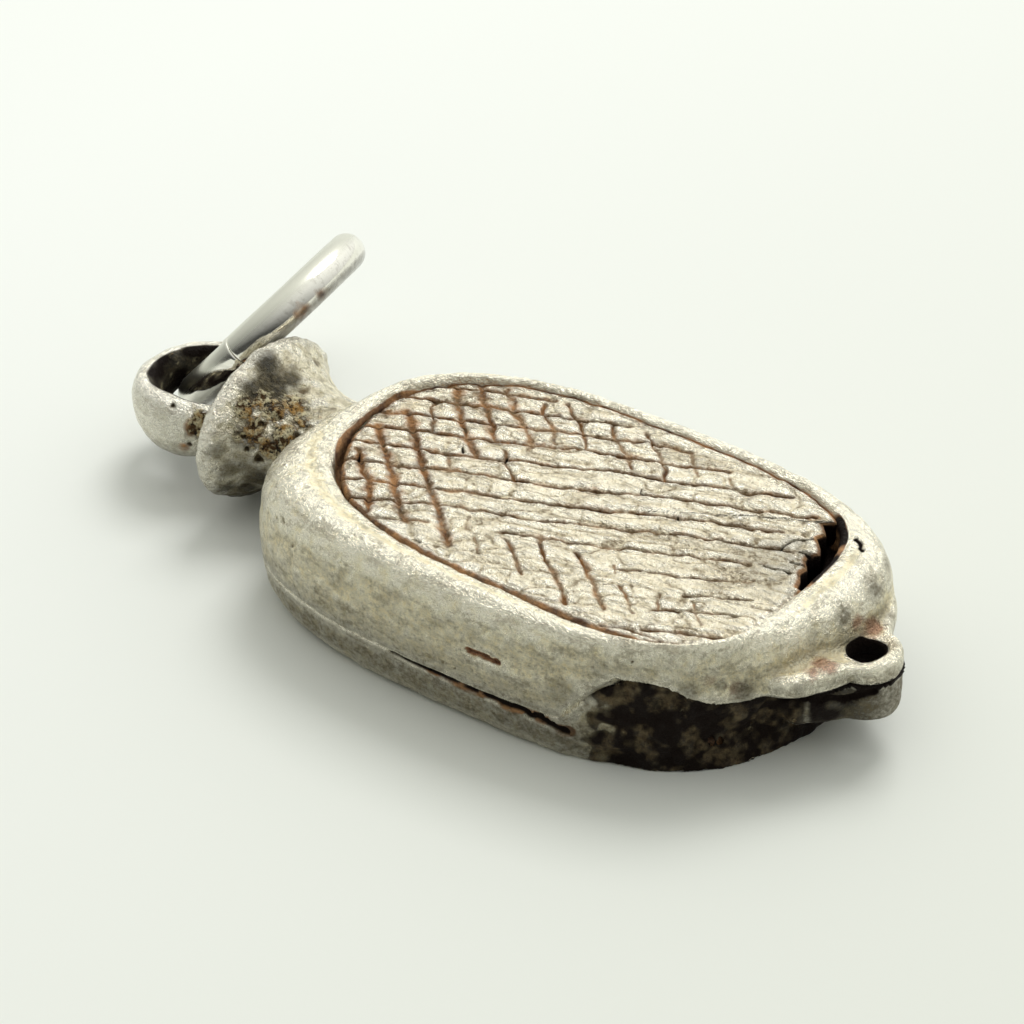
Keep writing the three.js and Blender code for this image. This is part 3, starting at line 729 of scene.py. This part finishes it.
def plate(node, name, side, seed, broken, lift):
    """A crowned plate with its cuts, from a CAD plate's box. side is 1 for the front face."""
    middle, reach, half_width, low, high = plate_frame(node)
    v, u = (part.ravel() for part in np.meshgrid(np.linspace(-1, 1, PLATE_GRID[1] + 1),
                                                 np.linspace(-1, 1, PLATE_GRID[0] + 1)))
    wide = np.abs(u) > np.abs(v)
    radius = np.where(wide, u, v)
    safe = np.where(radius == 0, 1, radius)
    turn = np.where(wide, math.pi / 4 * v / safe, math.pi / 2 - math.pi / 4 * u / safe)
    half_length = sum(reach) / 2
    angle = np.arctan2(radius * np.sin(turn) * half_width, radius * np.cos(turn) * half_length)
    share = np.abs(radius)
    edge = plate_edge(angle, reach, half_width, broken)
    flat = (share * edge)[:, None] * np.column_stack([np.cos(angle), np.sin(angle)])
    from_edge = (1 - share) * edge
    middle_shift = np.array([(reach[0] - reach[1]) / 2, 0])
    mirrored = (flat + middle_shift) * (1, side)

    deep, near = cut_depth(mirrored, CUTS, seed)
    thin, _ = cut_depth(mirrored, FINE_CUTS, seed)
    split_shade, _ = cut_depth(mirrored, [(line, 1.2, CRACK_WIDTH) for line in CRACKS] if broken else [], seed)
    spot = np.column_stack([mirrored, np.zeros(len(flat))])
    along = spot @ (math.cos(RISING_WAY), math.sin(RISING_WAY), 0)
    across = spot @ (-math.sin(RISING_WAY), math.cos(RISING_WAY), 0)
    streak, wrinkled = (np.column_stack([along * pull, across, spot[:, 2]]) for pull in (0.25, 0.45))
    rounding = PLATE_ROUNDING * (1 + 0.5 * lumps(spot, 0.4, seed + 7))
    fall = fade(1 - from_edge / rounding) ** 2
    flush = between(angle, FLUSH_TURNS) if broken else 0
    height = (PLATE_CROWN * (1 - share ** 4) - EDGE_FALL * fall * (1 - flush) - CUT_DEPTH * deep
              - CUT_SINK * near)
    height += 0.018 * lumps(spot, 1.3, seed + 8) + 0.012 * lumps(spot, 0.4, seed + 9)
    height += 0.012 * lumps(streak, 0.14, seed + 10) + 0.005 * lumps(spot, 0.10, seed + 11)
    wrinkle = sum(np.exp(-((lumps(wrinkled, size, seed + k) / 0.13) ** 2))
                  for k, size in ((12, 0.50), (13, 0.30)))
    if broken:
        height += FAR_RISE * fade(flat[:, 1] / half_width) ** 2
    height -= WRINKLE_DEPTH * wrinkle * (0.7 + 0.5 * lumps(spot, 0.8, seed + 14)) + CRACK_DEPTH * split_shade
    edge_level = (high if side > 0 else -low) - PLATE_CROWN - 0.01 + lift
    top = edge_level + height
    seat = low if side > 0 else -high

    columns, rows = PLATE_GRID[1] + 1, PLATE_GRID[0] + 1
    index = np.arange(rows * columns).reshape(rows, columns)
    quads = np.stack([index[:-1, :-1], index[1:, :-1], index[1:, 1:], index[:-1, 1:]], -1)
    rim = np.concatenate([index[:-1, 0], index[-1, :-1], index[:0:-1, -1], index[0, :0:-1]])
    count, ring = len(flat), len(rim)
    under = np.arange(ring) + count
    hub = count + ring
    walls = np.column_stack([rim, under, np.roll(under, -1), np.roll(rim, -1)])
    fan = np.column_stack([under, np.full(ring, hub), np.roll(under, -1)])
    places = np.vstack([np.column_stack([flat, top]),
                        np.column_stack([flat[rim], np.full(ring, seat)]), [0, 0, seat]])
    places[:, :2] += middle
    places[:, 2] *= side
    faces = quads.reshape(-1, 4).tolist() + walls.tolist() + fan.tolist()
    piece = piece_of(name, places.tolist(), faces)
    neck_side = fade(-2 - mirrored[:, 0], 2.5)
    gone = between(angle, BREAK_TURNS, 2) * (share == 1) if broken else 0
    masks = (("groove", np.maximum(deep, near * (0.6 + 0.16 * neck_side)), 1),
             ("floor", np.maximum(thin, deep * 0.45), 1),
             ("split_shade", np.maximum(split_shade, gone * 0.45), broken),
             ("edge_dirt", np.exp(-((from_edge / EDGE_DIRT) ** 2)) * (1 - flush), 1),
             ("wrinkle", wrinkle * 0.9, 0))
    for label, values, underside in masks:
        save_mask(piece, label, np.concatenate([values, np.full(ring + 1, float(underside))]))
    return piece


front_plate = plate("front_panel", "front_plate", 1, 61, True, FRONT_LIFT)
back_plate = plate("back_panel", "back_plate", -1, 83, False, 0)

# %% [markdown]
# ## The jump ring
# The ring is smooth drawn wire, the only polished piece. Facets would show at once in its
# reflections, so it isn't remeshed. The record gives its middle and its axis, the CAD ring gives
# its two radii, and we sweep a fine round tube between the two ends of its hairline cut.

# %% Sweep the ring
WIRE_STEPS, WIRE_SIDES = 400, 56
CUT_ANGLE, CUT_GAP, END_ROUNDING = math.radians(20), 0.006, 0.008


def swept_ring(node, mount, name):
    """A smooth open ring of round wire with the measures of a CAD ring."""
    place = next(m for m in frame["record"]["mounts"] if m["name"] == mount)
    middle, normal = np.array(place["pos_m"]) / MM, np.array(place["axis"])
    normal /= np.linalg.norm(normal)
    level = np.cross((0, 0, 1), normal)
    level /= np.linalg.norm(level)
    slope = np.cross(normal, level)
    spread = np.array([v.co for v in frame["nodes"][node].data.vertices]) / MM - middle
    far = np.linalg.norm(spread - np.outer(spread @ normal, normal), axis=1)
    radius, wire = (far.max() + far.min()) / 2, (far.max() - far.min()) / 2
    half_gap = CUT_GAP / radius / 2
    turn = CUT_ANGLE + half_gap + np.linspace(0, 1, WIRE_STEPS) * (2 * math.pi - 2 * half_gap)
    start = np.minimum(turn - turn[0], turn[-1] - turn) * radius
    bevel = np.sqrt(1 - fade(1 - start / END_ROUNDING) ** 2 * 0.06)
    round_wire = np.linspace(0, 2 * math.pi, WIRE_SIDES, endpoint=False)
    out = np.cos(turn)[:, None] * level + np.sin(turn)[:, None] * slope
    around = (np.cos(round_wire)[None, :, None] * out[:, None, :]
              + np.sin(round_wire)[None, :, None] * normal)
    places = middle + radius * out[:, None, :] + wire * bevel[:, None, None] * around
    flat = places.reshape(-1, 3)
    index = np.arange(len(flat)).reshape(WIRE_STEPS, WIRE_SIDES)
    after = np.roll(index, -1, axis=1)
    quads = np.stack([index[:-1], after[:-1], after[1:], index[1:]], -1).reshape(-1, 4)
    print(f"{name}: radius {radius:.3f} mm, wire {wire:.3f} mm")
    ends = [index[0, ::-1].tolist(), index[-1].tolist()]
    return piece_of(name, flat.tolist(), quads.tolist() + ends)


ring = swept_ring("jump_ring", "hanging_ring", "ring_wire")
ring_axis = next(m["axis"] for m in frame["record"]["mounts"] if m["name"] == "hanging_ring")
# Painted shade: one face of the wire is painted duller, standing in for the dark things it reflects.
ring_side = normals_of(ring) @ np.array(ring_axis)
save_mask(ring, "dull_face_shade", fade(ring_side - 0.12, 0.35))
roughen(ring, ((2.0, 0.012), (0.5, 0.004)), 97)

# %% [markdown]
# ## Masks: where dirt gathers, where hands polish, and where shade is painted
# Silver darkens everywhere, and rubbing keeps the high places bright. So the finish follows the
# shape. `relief` tells high points from low ones, and the distance to the next piece tells a crevice,
# which gets brown on some pieces and painted shade on others. Soft patches at photograph pixels add the
# crust, the soot and the painted shade that only this charm has.

# %% Mask helpers
def crevice(piece, others, reach):
    """1 where a point touches one of the other pieces, falling to 0 at a distance in millimetres."""
    trees = [tree_of(other) for other in others]
    gap = np.full(len(piece.data.vertices), reach)
    for tree in trees:
        for i, vertex in enumerate(piece.data.vertices):
            hit = tree.find_nearest(vertex.co, gap[i])
            if hit[0] is not None:
                gap[i] = min(gap[i], hit[3])
    return 1 - gap / reach


def patches(piece, spots):
    """Soft round patches at photograph pixels. A spot is (pixel, radius in mm, strength)."""
    tree, places = tree_of(piece), points_of(piece)
    total = np.zeros(len(places))
    for pixel, radius, strength in spots:
        middle = photo_spot([tree], pixel)
        if middle is None:
            print("no skin of", piece.name, "behind pixel", pixel)
            continue
        gap = np.linalg.norm(places - middle, axis=1) / radius
        gap = gap + 0.25 * lumps(places, radius * 0.6, 3)
        total = np.maximum(total, strength * fade(1.25 - gap))
    return total


def finish_masks(piece, brown=0.0, soot_and_shade=0.0, crust=0.0, rust_pink=0.0):
    """Stores the masks that every silver piece has: high, low, brown, soot with painted shade, crust and
    pink.
    """
    height = relief(piece, 14)
    broad = relief(piece, 60)
    save_mask(piece, "high", height / 0.030 + broad / 0.12)
    save_mask(piece, "low", -height / 0.030 - broad / 0.12)
    for name, values in (("brown", brown), ("soot_and_shade", soot_and_shade), ("crust", crust), ("pink", rust_pink)):
        save_mask(piece, name, np.broadcast_to(values, len(piece.data.vertices)))


def level_of(piece):
    """The height of each point above the table, in millimetres."""
    return points_of(piece)[:, 2]


print("mask helpers ready")

# %% [markdown]
# ## Painting the masks
# Brown gathers round the plates, in the slit and in every pit. Upright walls are darker, more so
# towards the table: partly tarnish, partly painted shade. The back half has more of it low down, and its
# recessed raw end wall is nearly black with soot and painted shade. The black mask is painted shade:
# the tab's hole, the cracks, the slit, and the gap under the tab's lip.

# %% Masks of the shells
# Soft dark patches, mostly painted shade: along the tab's lip, at the end corner and between the rim and
# the tab's dish, with a painted dark reflection on the steep rim beside the tab.
FRONT_SHADE_PATCHES = (((745, 690), 0.6, 0.7), ((690, 690), 0.5, 0.6), ((800, 690), 0.4, 0.5),
              ((875, 590), 0.7, 0.6), ((885, 612), 0.5, 0.5), ((844, 616), 0.45, 0.55),
              ((812, 640), 0.4, 0.4), ((385, 412), 0.45, 0.3), ((888, 565), 0.5, 0.5),
              ((720, 683), 0.4, 0.6), ((600, 668), 0.6, 0.5), ((560, 650), 0.5, 0.35),
              ((560, 690), 0.9, 0.55), ((600, 690), 0.7, 0.6))
# Dark patches low on the near wall by the table: olive tarnish and painted contact shade.
BACK_SOOT_AND_SHADE = (((560, 735), 0.9, 0.6), ((590, 735), 0.6, 0.7))
FRONT_PINK = (((825, 665), 0.40, 1.0), ((812, 672), 0.3, 0.8), ((872, 628), 0.40, 1.0),
              ((858, 622), 0.3, 0.8), ((735, 690), 0.35, 0.6), ((710, 680), 0.3, 0.5))
HOLE_MIDDLE, HOLE_RADIUS, HOLE_TOP = (11.70, -0.34), 0.57, 2.85
LIP_START, LIP_LEVEL, TAB_START, TAB_LEVEL = 10.2, 2.36, 10.9, 1.98
WINDOW_EDGE = 1.012


def tab_hole_shade(piece):
    """1 inside the tab's hole, which is painted black as shade."""
    gap = np.linalg.norm(points_of(piece)[:, :2] - HOLE_MIDDLE, axis=1)
    steep = 1 - np.abs(normals_of(piece)[:, 2])
    return (fade(HOLE_RADIUS - gap, 0.05) * fade(steep * 3 - 0.3)
            * fade(HOLE_TOP - level_of(piece), 0.1))


def wall_tarnish_and_shade(piece):
    """Darker on everything that stands upright and towards the table: partly dull tarnish, partly
    painted shade.
    """
    level = level_of(piece)
    upright = fade(1 - 1.8 * np.abs(normals_of(piece)[:, 2]))
    return 0.40 * upright + 0.36 * fade(2.3 - level, 1.8)


def window_dirt(piece, plate_piece, node, limit):
    """Brown in the narrow gap between a plate and its window."""
    share, turn = window_share(piece, node)
    limit = limit + 0.016 * fade(-np.cos(turn) - 0.955, 0.03)
    return np.maximum(crevice(piece, [plate_piece], 0.13) ** 1.5, fade(limit - share, 0.01))


front_share, front_turn = window_share(front, "front_panel")
front_places, front_level = points_of(front), level_of(front)
in_break = between(front_turn, BREAK_TURNS, 3) * fade(1.052 - front_share, 0.012)
in_break *= front_level > 2.9
# Painted shade under the front's lip by the tab.
under_lip_shade = (front_places[:, 0] > LIP_START) * fade(LIP_LEVEL - front_level, 0.05)
gap_dirt = window_dirt(front, front_plate, "front_panel", WINDOW_EDGE)
finish_masks(
    front,
    brown=np.maximum.reduce([gap_dirt * (1 - between(front_turn, FLUSH_TURNS)), front_pits * 0.7, scar,
                             in_break, crevice(front, [neck], 0.25) * 0.5]),
    soot_and_shade=np.maximum.reduce([patches(front, FRONT_SHADE_PATCHES), wall_tarnish_and_shade(front), front_pits ** 2]),
    rust_pink=np.maximum(patches(front, FRONT_PINK), scar * 0.9))
# Painted shade, black: the tab's hole, the rim's crack, the scar, the underside of the lip and the
# broken corner, speckled.
save_mask(front, "split_shade", np.maximum.reduce([
    tab_hole_shade(front), rim_crack, scar ** 2 * 0.4, under_lip_shade,
    in_break * fade(0.45 - 0.8 * lumps(front_places, 0.5, 75))]))

back_places, back_level = points_of(back), level_of(back)
# The raw end wall, recessed under the lip, is nearly black with soot and painted shade.
back_dark = back_raw * fade(normals_of(back)[:, 2] + 0.9, 0.2)
# Low on the back half past the start of the tab: soot and painted shade.
out_on_tab = back_places[:, 0] - TAB_START
tab_soot_and_shade = fade(out_on_tab / 0.3) * fade(2.3 - back_level, 0.2)
finish_masks(
    back,
    brown=np.maximum.reduce([window_dirt(back, back_plate, "back_panel", WINDOW_EDGE),
                             back_dark * 0.6, slit_stain]),
    soot_and_shade=np.maximum.reduce([back_dark * 1.3, wall_tarnish_and_shade(back), tab_soot_and_shade * (1.1 - 0.25 * out_on_tab),
                            patches(back, BACK_SOOT_AND_SHADE)]),
    crust=back_dark * fade(lumps(back_places, 0.4, 71) - 0.25) * 0.8)
# Painted shade, black: the tab's hole, the gap under the lip, the slit at the foot of the near wall, the
# band between the tab and the front's lip, and speckles on the tab's low side and the raw end wall.
save_mask(back, "split_shade", np.maximum.reduce([
    tab_hole_shade(back), lip_gap * 1.2, seam_slit * 0.9,
    (out_on_tab > -0.6) * fade(back_level - TAB_LEVEL - 0.16 * fade(out_on_tab), 0.05),
    tab_soot_and_shade * fade(0.62 - 0.4 * out_on_tab + 0.4 * lumps(back_places, 0.35, 77)),
    back_dark * fade(0.42 + 0.6 * lumps(back_places, 0.42, 73) + 0.35 * lumps(back_places, 0.15, 74))]))
print("nearly black:", round(float((back_dark > 0.5).mean()), 3), "of the back half")

# %% [markdown]
# ## Masks of the neck, the eye, the plates and the ring
# The funnel has the thickest crust, yellow to black, and painted shade where the eye meets it. The eye
# is handled most and stays clean outside, with soot and painted shade inside its hole. The plates are
# brown in their cuts, and the ring has faint brown tints, with painted shade where it touches the eye
# and the neck and on one face of its wire.

# %% Masks of the smaller pieces
NECK_CRUST = (((252, 428), 0.75, 0.8), ((278, 418), 0.75, 0.8), ((296, 405), 0.6, 0.75),
              ((246, 408), 0.5, 0.75), ((268, 448), 0.6, 0.8), ((304, 425), 0.6, 0.75),
              ((318, 414), 0.5, 0.5), ((284, 438), 0.6, 0.8), ((262, 402), 0.4, 0.8))
NECK_SOOT = (((268, 366), 0.62, 0.9), ((272, 382), 0.65, 1.2), ((290, 378), 0.50, 0.9),
             ((256, 392), 0.55, 1.1), ((240, 466), 0.8, 0.65), ((262, 478), 0.8, 0.85),
             ((225, 488), 0.6, 0.8), ((245, 488), 0.7, 0.9), ((218, 452), 0.4, 0.55),
             ((352, 416), 0.5, 0.4), ((245, 440), 0.6, 0.6), ((228, 470), 0.6, 0.6))
# The funnel's soot mask carries painted shade where the eye meets it, and it gets darker towards the
# table.
finish_masks(
    neck,
    brown=np.maximum(crevice(neck, [front, back], 0.35) * 0.8, neck_pits * 0.5),
    soot_and_shade=np.maximum.reduce([patches(neck, NECK_SOOT), crevice(neck, [eye], 0.5), neck_pits,
                            fade(2.1 - level_of(neck), 1.5) * 0.8]),
    crust=patches(neck, NECK_CRUST))
# The eye's hole is darkened inside and speckled black: soot and painted shade. A soft patch paints shade
# on the lit top of its near inner wall, and the eye gets darker towards the table.
towards_hole = points_of(eye)[:, :2] - EYE_MIDDLE
towards_hole /= -np.linalg.norm(towards_hole, axis=1)[:, None]
inner = fade(np.einsum("ij,ij->i", normals_of(eye)[:, :2], towards_hole) * 2.4 - 0.5)
finish_masks(
    eye,
    brown=np.maximum.reduce([crevice(eye, [neck], 0.6), eye_pits * 0.6,
                             patches(eye, (((205, 425), 0.45, 1.0), ((192, 428), 0.4, 0.9),
                                           ((185, 448), 0.3, 0.6)))]),
    soot_and_shade=np.maximum.reduce([inner * 1.2, eye_pits, patches(eye, (((205, 393), 0.35, 0.8),)),
                            fade(1.9 - level_of(eye), 0.9) * 0.6]),
    crust=np.maximum(patches(eye, (((200, 418), 0.45, 0.9), ((195, 430), 0.4, 0.8))), inner * 0.3))
save_mask(eye, "split_shade", inner * fade(0.45 + 0.5 * lumps(points_of(eye), 0.4, 76)))
PLATE_SOOT = (((775, 560), 1.9, 0.42), ((740, 600), 1.2, 0.25))
finish_masks(front_plate, soot_and_shade=patches(front_plate, PLATE_SOOT))
finish_masks(back_plate)
# On the ring the soot mask is painted shade: where it touches the eye and the neck, and on the face of
# the wire turned the other way.
finish_masks(ring, brown=patches(ring, (((303, 312), 0.35, 0.8), ((322, 294), 0.3, 0.7))),
             soot_and_shade=np.maximum(crevice(ring, [eye, neck], 0.3) * 0.6,
                             fade(-0.42 - ring_side, 0.25) * 0.62))

# %% [markdown]
# ## One node group for old silver
# All pieces are the same metal in different states, so the effect is one node group with sockets
# for what differs. It reads the masks by name, breaks their borders with noise so that nothing
# looks airbrushed, and puts out a colour, a roughness, how metallic the surface is, and a height
# for fine bump. The shader itself stays in each material.

# %% The old silver group
def mask(tree, name):
    """The stored mask of a name, as a number from 0 to 1."""
    return add(tree, "Attribute", attribute_name=name).outputs["Fac"]


silver = bpy.data.node_groups.new("old_silver", "ShaderNodeTree")
SILVER_SOCKETS = (("Clean colour", "NodeSocketColor", rgb(246, 236, 207)),
                  ("Dull colour", "NodeSocketColor", rgb(186, 174, 142)),
                  ("Speckle", "NodeSocketFloat", 0.5), ("Residue", "NodeSocketFloat", 1.0),
                  ("Groove", "NodeSocketFloat", 0.0), ("Polish", "NodeSocketFloat", 0.3),
                  ("Scratches", "NodeSocketFloat", 0.2), ("Grain size", "NodeSocketFloat", 1.0),
                  ("Patina", "NodeSocketFloat", 0.4))
for name, kind, value in SILVER_SOCKETS:
    silver.interface.new_socket(name, in_out="INPUT", socket_type=kind).default_value = value
for name, kind in (("Colour", "NodeSocketColor"), ("Roughness", "NodeSocketFloat"),
                   ("Metallic", "NodeSocketFloat"), ("Height", "NodeSocketFloat")):
    silver.interface.new_socket(name, in_out="OUTPUT", socket_type=kind)

over, ramp, stored = (partial(step, silver) for step in (mix, span, mask))
times, plus, less, largest = (partial(maths, silver, kind)
                              for kind in ("MULTIPLY", "ADD", "SUBTRACT", "MAXIMUM"))


def noise(place, scale, detail=3.0, roughness=0.55):
    """Noise from 0 to 1 with lumps of 1/scale millimetres."""
    return add(silver, "TexNoise", {"Vector": place, "Scale": scale, "Detail": detail,
                                    "Roughness": roughness}).outputs["Fac"]


def blend_of(*parts):
    """The sum of textures, each times its share."""
    first = times(*parts[0])
    return plus(first, blend_of(*parts[1:])) if parts[1:] else first


def broken(amount, texture, edge=0.22, spread=0.9):
    """A mask whose border is broken up by a texture."""
    return ramp(plus(amount, times(less(texture, 0.5), spread)), 0.5 - edge, 0.5 + edge)


given = silver.nodes.new("NodeGroupInput").outputs
result = silver.nodes.new("NodeGroupOutput").inputs
millimetres = add(silver, "VectorMath", {0: add(silver, "TexCoord").outputs["Object"],
                                         1: (1000, 1000, 1000)}, operation="MULTIPLY").outputs[0]
place = add(silver, "VectorMath", {0: millimetres, "Scale": given["Grain size"]},
            operation="SCALE").outputs[0]
along_cuts = add(silver, "Mapping", {"Vector": place, "Rotation": (0, 0, -RISING_WAY),
                                     "Scale": (0.22, 1, 1)}).outputs[0]
along_wall = add(silver, "Mapping", {"Vector": place, "Scale": (0.55, 0.55, 1.5)}).outputs[0]
blotch = noise(place, 2.2, 5, 0.65)
grain = noise(place, 8.0, 4, 0.7)
fine = noise(place, 21, 2, 0.6)
ripple = noise(place, 4.2, 3, 0.6)
streak = noise(along_cuts, 9.0, 4, 0.65)

rubbed = ramp(stored("high"), 0.05, 0.8)
sunk = broken(stored("low"), grain, 0.3, 0.7)
mottle = blend_of((ripple, 0.25), (grain, 0.45), (fine, 0.3))
tone = plus(ramp(mottle, 0.39, 0.55), times(rubbed, 0.35), clamp=True)
colour = over(tone, given["Dull colour"], given["Clean colour"])
colour = over(times(rubbed, given["Polish"]), colour, rgb(244, 240, 228))
patina = blend_of((noise(along_wall, 2.4, 5, 0.68), 0.6), (grain, 0.4))
colour = over(times(ramp(patina, 0.49, 0.60), given["Patina"]), colour, rgb(134, 120, 90))
speck = times(ramp(fine, 0.57, 0.68), times(ramp(blotch, 0.38, 0.6), given["Speckle"]))
colour = over(speck, colour, rgb(88, 78, 58))
scratch = times(ramp(streak, 0.54, 0.66), given["Scratches"])
colour = over(scratch, colour, rgb(104, 88, 66))
colour = over(times(sunk, given["Residue"]), colour, rgb(96, 80, 56))

groove = broken(times(stored("groove"), given["Groove"]), grain, 0.24, 0.75)
brown = broken(stored("brown"), ripple, 0.2, 0.6)
edge = broken(times(stored("edge_dirt"), given["Groove"]), ripple, 0.25, 0.9)
dirt = largest(groove, largest(brown, edge))
earth = over(ramp(blotch, 0.36, 0.64), rgb(84, 46, 20), rgb(196, 142, 88))
colour = over(times(dirt, 0.92), colour, earth)
core = broken(times(stored("floor"), given["Groove"]), blotch, 0.2, 1.3)
colour = over(times(core, 0.8), colour, rgb(46, 26, 14))
pink = broken(stored("pink"), grain, 0.25, 0.8)
colour = over(times(pink, 0.75), colour,
              over(ramp(fine, 0.4, 0.6), rgb(112, 62, 44), rgb(178, 132, 104)))
# Grey-black from the soot mask: real soot and tarnish, and also painted shade in crevices, in recesses,
# under the lip, low on the walls and on one face of the ring.
soot_and_shade = broken(stored("soot_and_shade"), blend_of((grain, 0.6), (blotch, 0.4)), 0.30, 1.1)
grime_and_shade = over(ramp(blend_of((blotch, 0.5), (grain, 0.5)), 0.44, 0.62),
             rgb(22, 17, 10), rgb(98, 88, 64))
colour = over(times(soot_and_shade, 0.92), colour, grime_and_shade)
crust = broken(stored("crust"), blend_of((ripple, 0.5), (blotch, 0.5)), 0.12, 1.9)
scab = over(ramp(ripple, 0.44, 0.54), rgb(74, 52, 26),
            over(ramp(blotch, 0.42, 0.56), rgb(160, 124, 70), rgb(214, 204, 168)))
scab = over(ramp(grain, 0.40, 0.46), rgb(24, 17, 9), scab)
colour = over(crust, colour, scab)
wrinkles = times(stored("wrinkle"), ramp(grain, 0.40, 0.62))
colour = over(times(wrinkles, 0.9), colour, rgb(120, 104, 78))
# Painted shade: holes, cracks, slits and the gap under the lip are painted near black.
split_shade = ramp(stored("split_shade"), 0.15, 0.5)
colour = over(split_shade, colour, rgb(22, 12, 6))

covered = largest(largest(dirt, split_shade), largest(crust, times(soot_and_shade, 0.8)))
bare = less(1.0, covered, clamp=True)
roughness = less(ramp(grain, 0.3, 0.7, 0.26, 0.44), times(rubbed, 0.15))
roughness = plus(roughness, times(covered, 0.4), clamp=True)
height = less(blend_of((ripple, 0.9), (grain, 0.8), (fine, 0.35)), times(scratch, 0.35))
height = plus(height, times(crust, ripple))
for name, value in (("Colour", colour), ("Roughness", roughness), ("Metallic", bare),
                    ("Height", height)):
    silver.links.new(value, result[name])
print("old_silver has", len(silver.nodes), "nodes")

# %% [markdown]
# ## The finishes
# Each finish places the group with its own values: cast walls are satin, the engraved plates are
# paler and grainier with full grooves, the funnel is the dullest, and the ring is nearly clean.

# %% Silver finishes
SATIN_SHINE, WIRE_SHINE = 0.15, 0.5
CAST_BUMPS, WIRE_BUMPS = 0.00011, 0.00002


def silver_finish(name, bump, values, shine=SATIN_SHINE, bumps=CAST_BUMPS):
    """A material around the old silver group. bumps is the depth of its fine relief, in metres."""
    finish = bpy.data.materials.new(name)
    finish.use_nodes = True
    tree = finish.node_tree
    shader = tree.nodes["Principled BSDF"]
    shader.inputs["Specular IOR Level"].default_value = shine
    group = add(tree, "Group", values, node_tree=silver, name="old silver")
    for output, socket in (("Colour", "Base Color"), ("Roughness", "Roughness"),
                           ("Metallic", "Metallic")):
        tree.links.new(group.outputs[output], shader.inputs[socket])
    fine_relief = add(tree, "Bump", {"Height": group.outputs["Height"], "Strength": bump,
                                     "Distance": bumps})
    tree.links.new(fine_relief.outputs["Normal"], shader.inputs["Normal"])
    return finish


cast_finish = silver_finish("cast_wall", 0.8, {
    "Clean colour": rgb(250, 243, 217), "Dull colour": rgb(230, 215, 174), "Speckle": 0.4,
    "Residue": 0.3, "Polish": 0.5, "Patina": 0.45})
plate_finish = silver_finish("engraved_plate", 0.85, {
    "Clean colour": rgb(252, 243, 220), "Dull colour": rgb(208, 195, 164), "Speckle": 0.5,
    "Residue": 0.5, "Groove": 1.0, "Polish": 0.6, "Scratches": 0.4, "Patina": 0.25})
neck_finish = silver_finish("crusted_neck", 1.0, {
    "Clean colour": rgb(250, 243, 220), "Dull colour": rgb(156, 146, 114), "Speckle": 0.8,
    "Residue": 0.9, "Polish": 0.7})
eye_finish = silver_finish("handled_eye", 0.8, {
    "Clean colour": rgb(236, 231, 214), "Dull colour": rgb(172, 166, 144), "Speckle": 0.45,
    "Residue": 0.8, "Polish": 0.7})


def wire_finish():
    """Polished drawn wire with faint rub marks, and one face of the wire painted duller as shade."""
    finish = silver_finish("polished_wire", 0.12, {
        "Clean colour": rgb(246, 245, 240), "Dull colour": rgb(228, 226, 216), "Speckle": 0.0,
        "Residue": 0.1, "Polish": 0.6, "Grain size": 0.6, "Patina": 0.0}, WIRE_SHINE, WIRE_BUMPS)
    tree = finish.node_tree
    shader, group = tree.nodes["Principled BSDF"], tree.nodes["old silver"]
    # Painted shade: one face of the wire gets a duller colour and more roughness.
    dull_face_shade = mask(tree, "dull_face_shade")
    tree.links.new(mix(tree, dull_face_shade, group.outputs["Colour"], rgb(216, 215, 202)),
                   shader.inputs["Base Color"])
    gloss = span(tree, group.outputs["Roughness"], 0.2, 0.6, 0.08, 0.24)
    tree.links.new(maths(tree, "ADD", gloss, maths(tree, "MULTIPLY", dull_face_shade, 0.22)),
                   shader.inputs["Roughness"])
    return finish


ring_finish = wire_finish()
print("finishes made:", len(bpy.data.materials))

# %% [markdown]
# ## Back to metres, and onto the bodies
# The pieces shrink to real size. Each one replaces its CAD node, rides on that node's body, and
# takes its finish. The jump ring rides on its own body, so it swings.

# %% Finish every piece
PIECES = ((front, "front_shell", "charm_body", "cast_silver", cast_finish),
          (back, "back_shell", "charm_body", "cast_silver", cast_finish),
          (front_plate, "front_panel", "charm_body", "engraved_silver", plate_finish),
          (back_plate, "back_panel", "charm_body", "engraved_silver", plate_finish),
          (neck, "funnel_neck", "charm_body", "tarnished_silver", neck_finish),
          (eye, "stopper_eye", "charm_body", "cast_silver", eye_finish),
          (ring, "jump_ring", "ring", "bright_silver", ring_finish))
for piece, node, body, slot, finish in PIECES:
    piece.data.transform(Matrix.Scale(MM, 4))
    piece.data.shade_smooth()
    piece.data.materials.clear()
    piece.data.materials.append(finish)
    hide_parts(node)
    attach(piece, body)
    print(piece.name, "rides on", body)

# %% [markdown]
# ## Bring the scene up to date
# The scene is updated once more.

# %% Update the scene
bpy.context.view_layer.update()
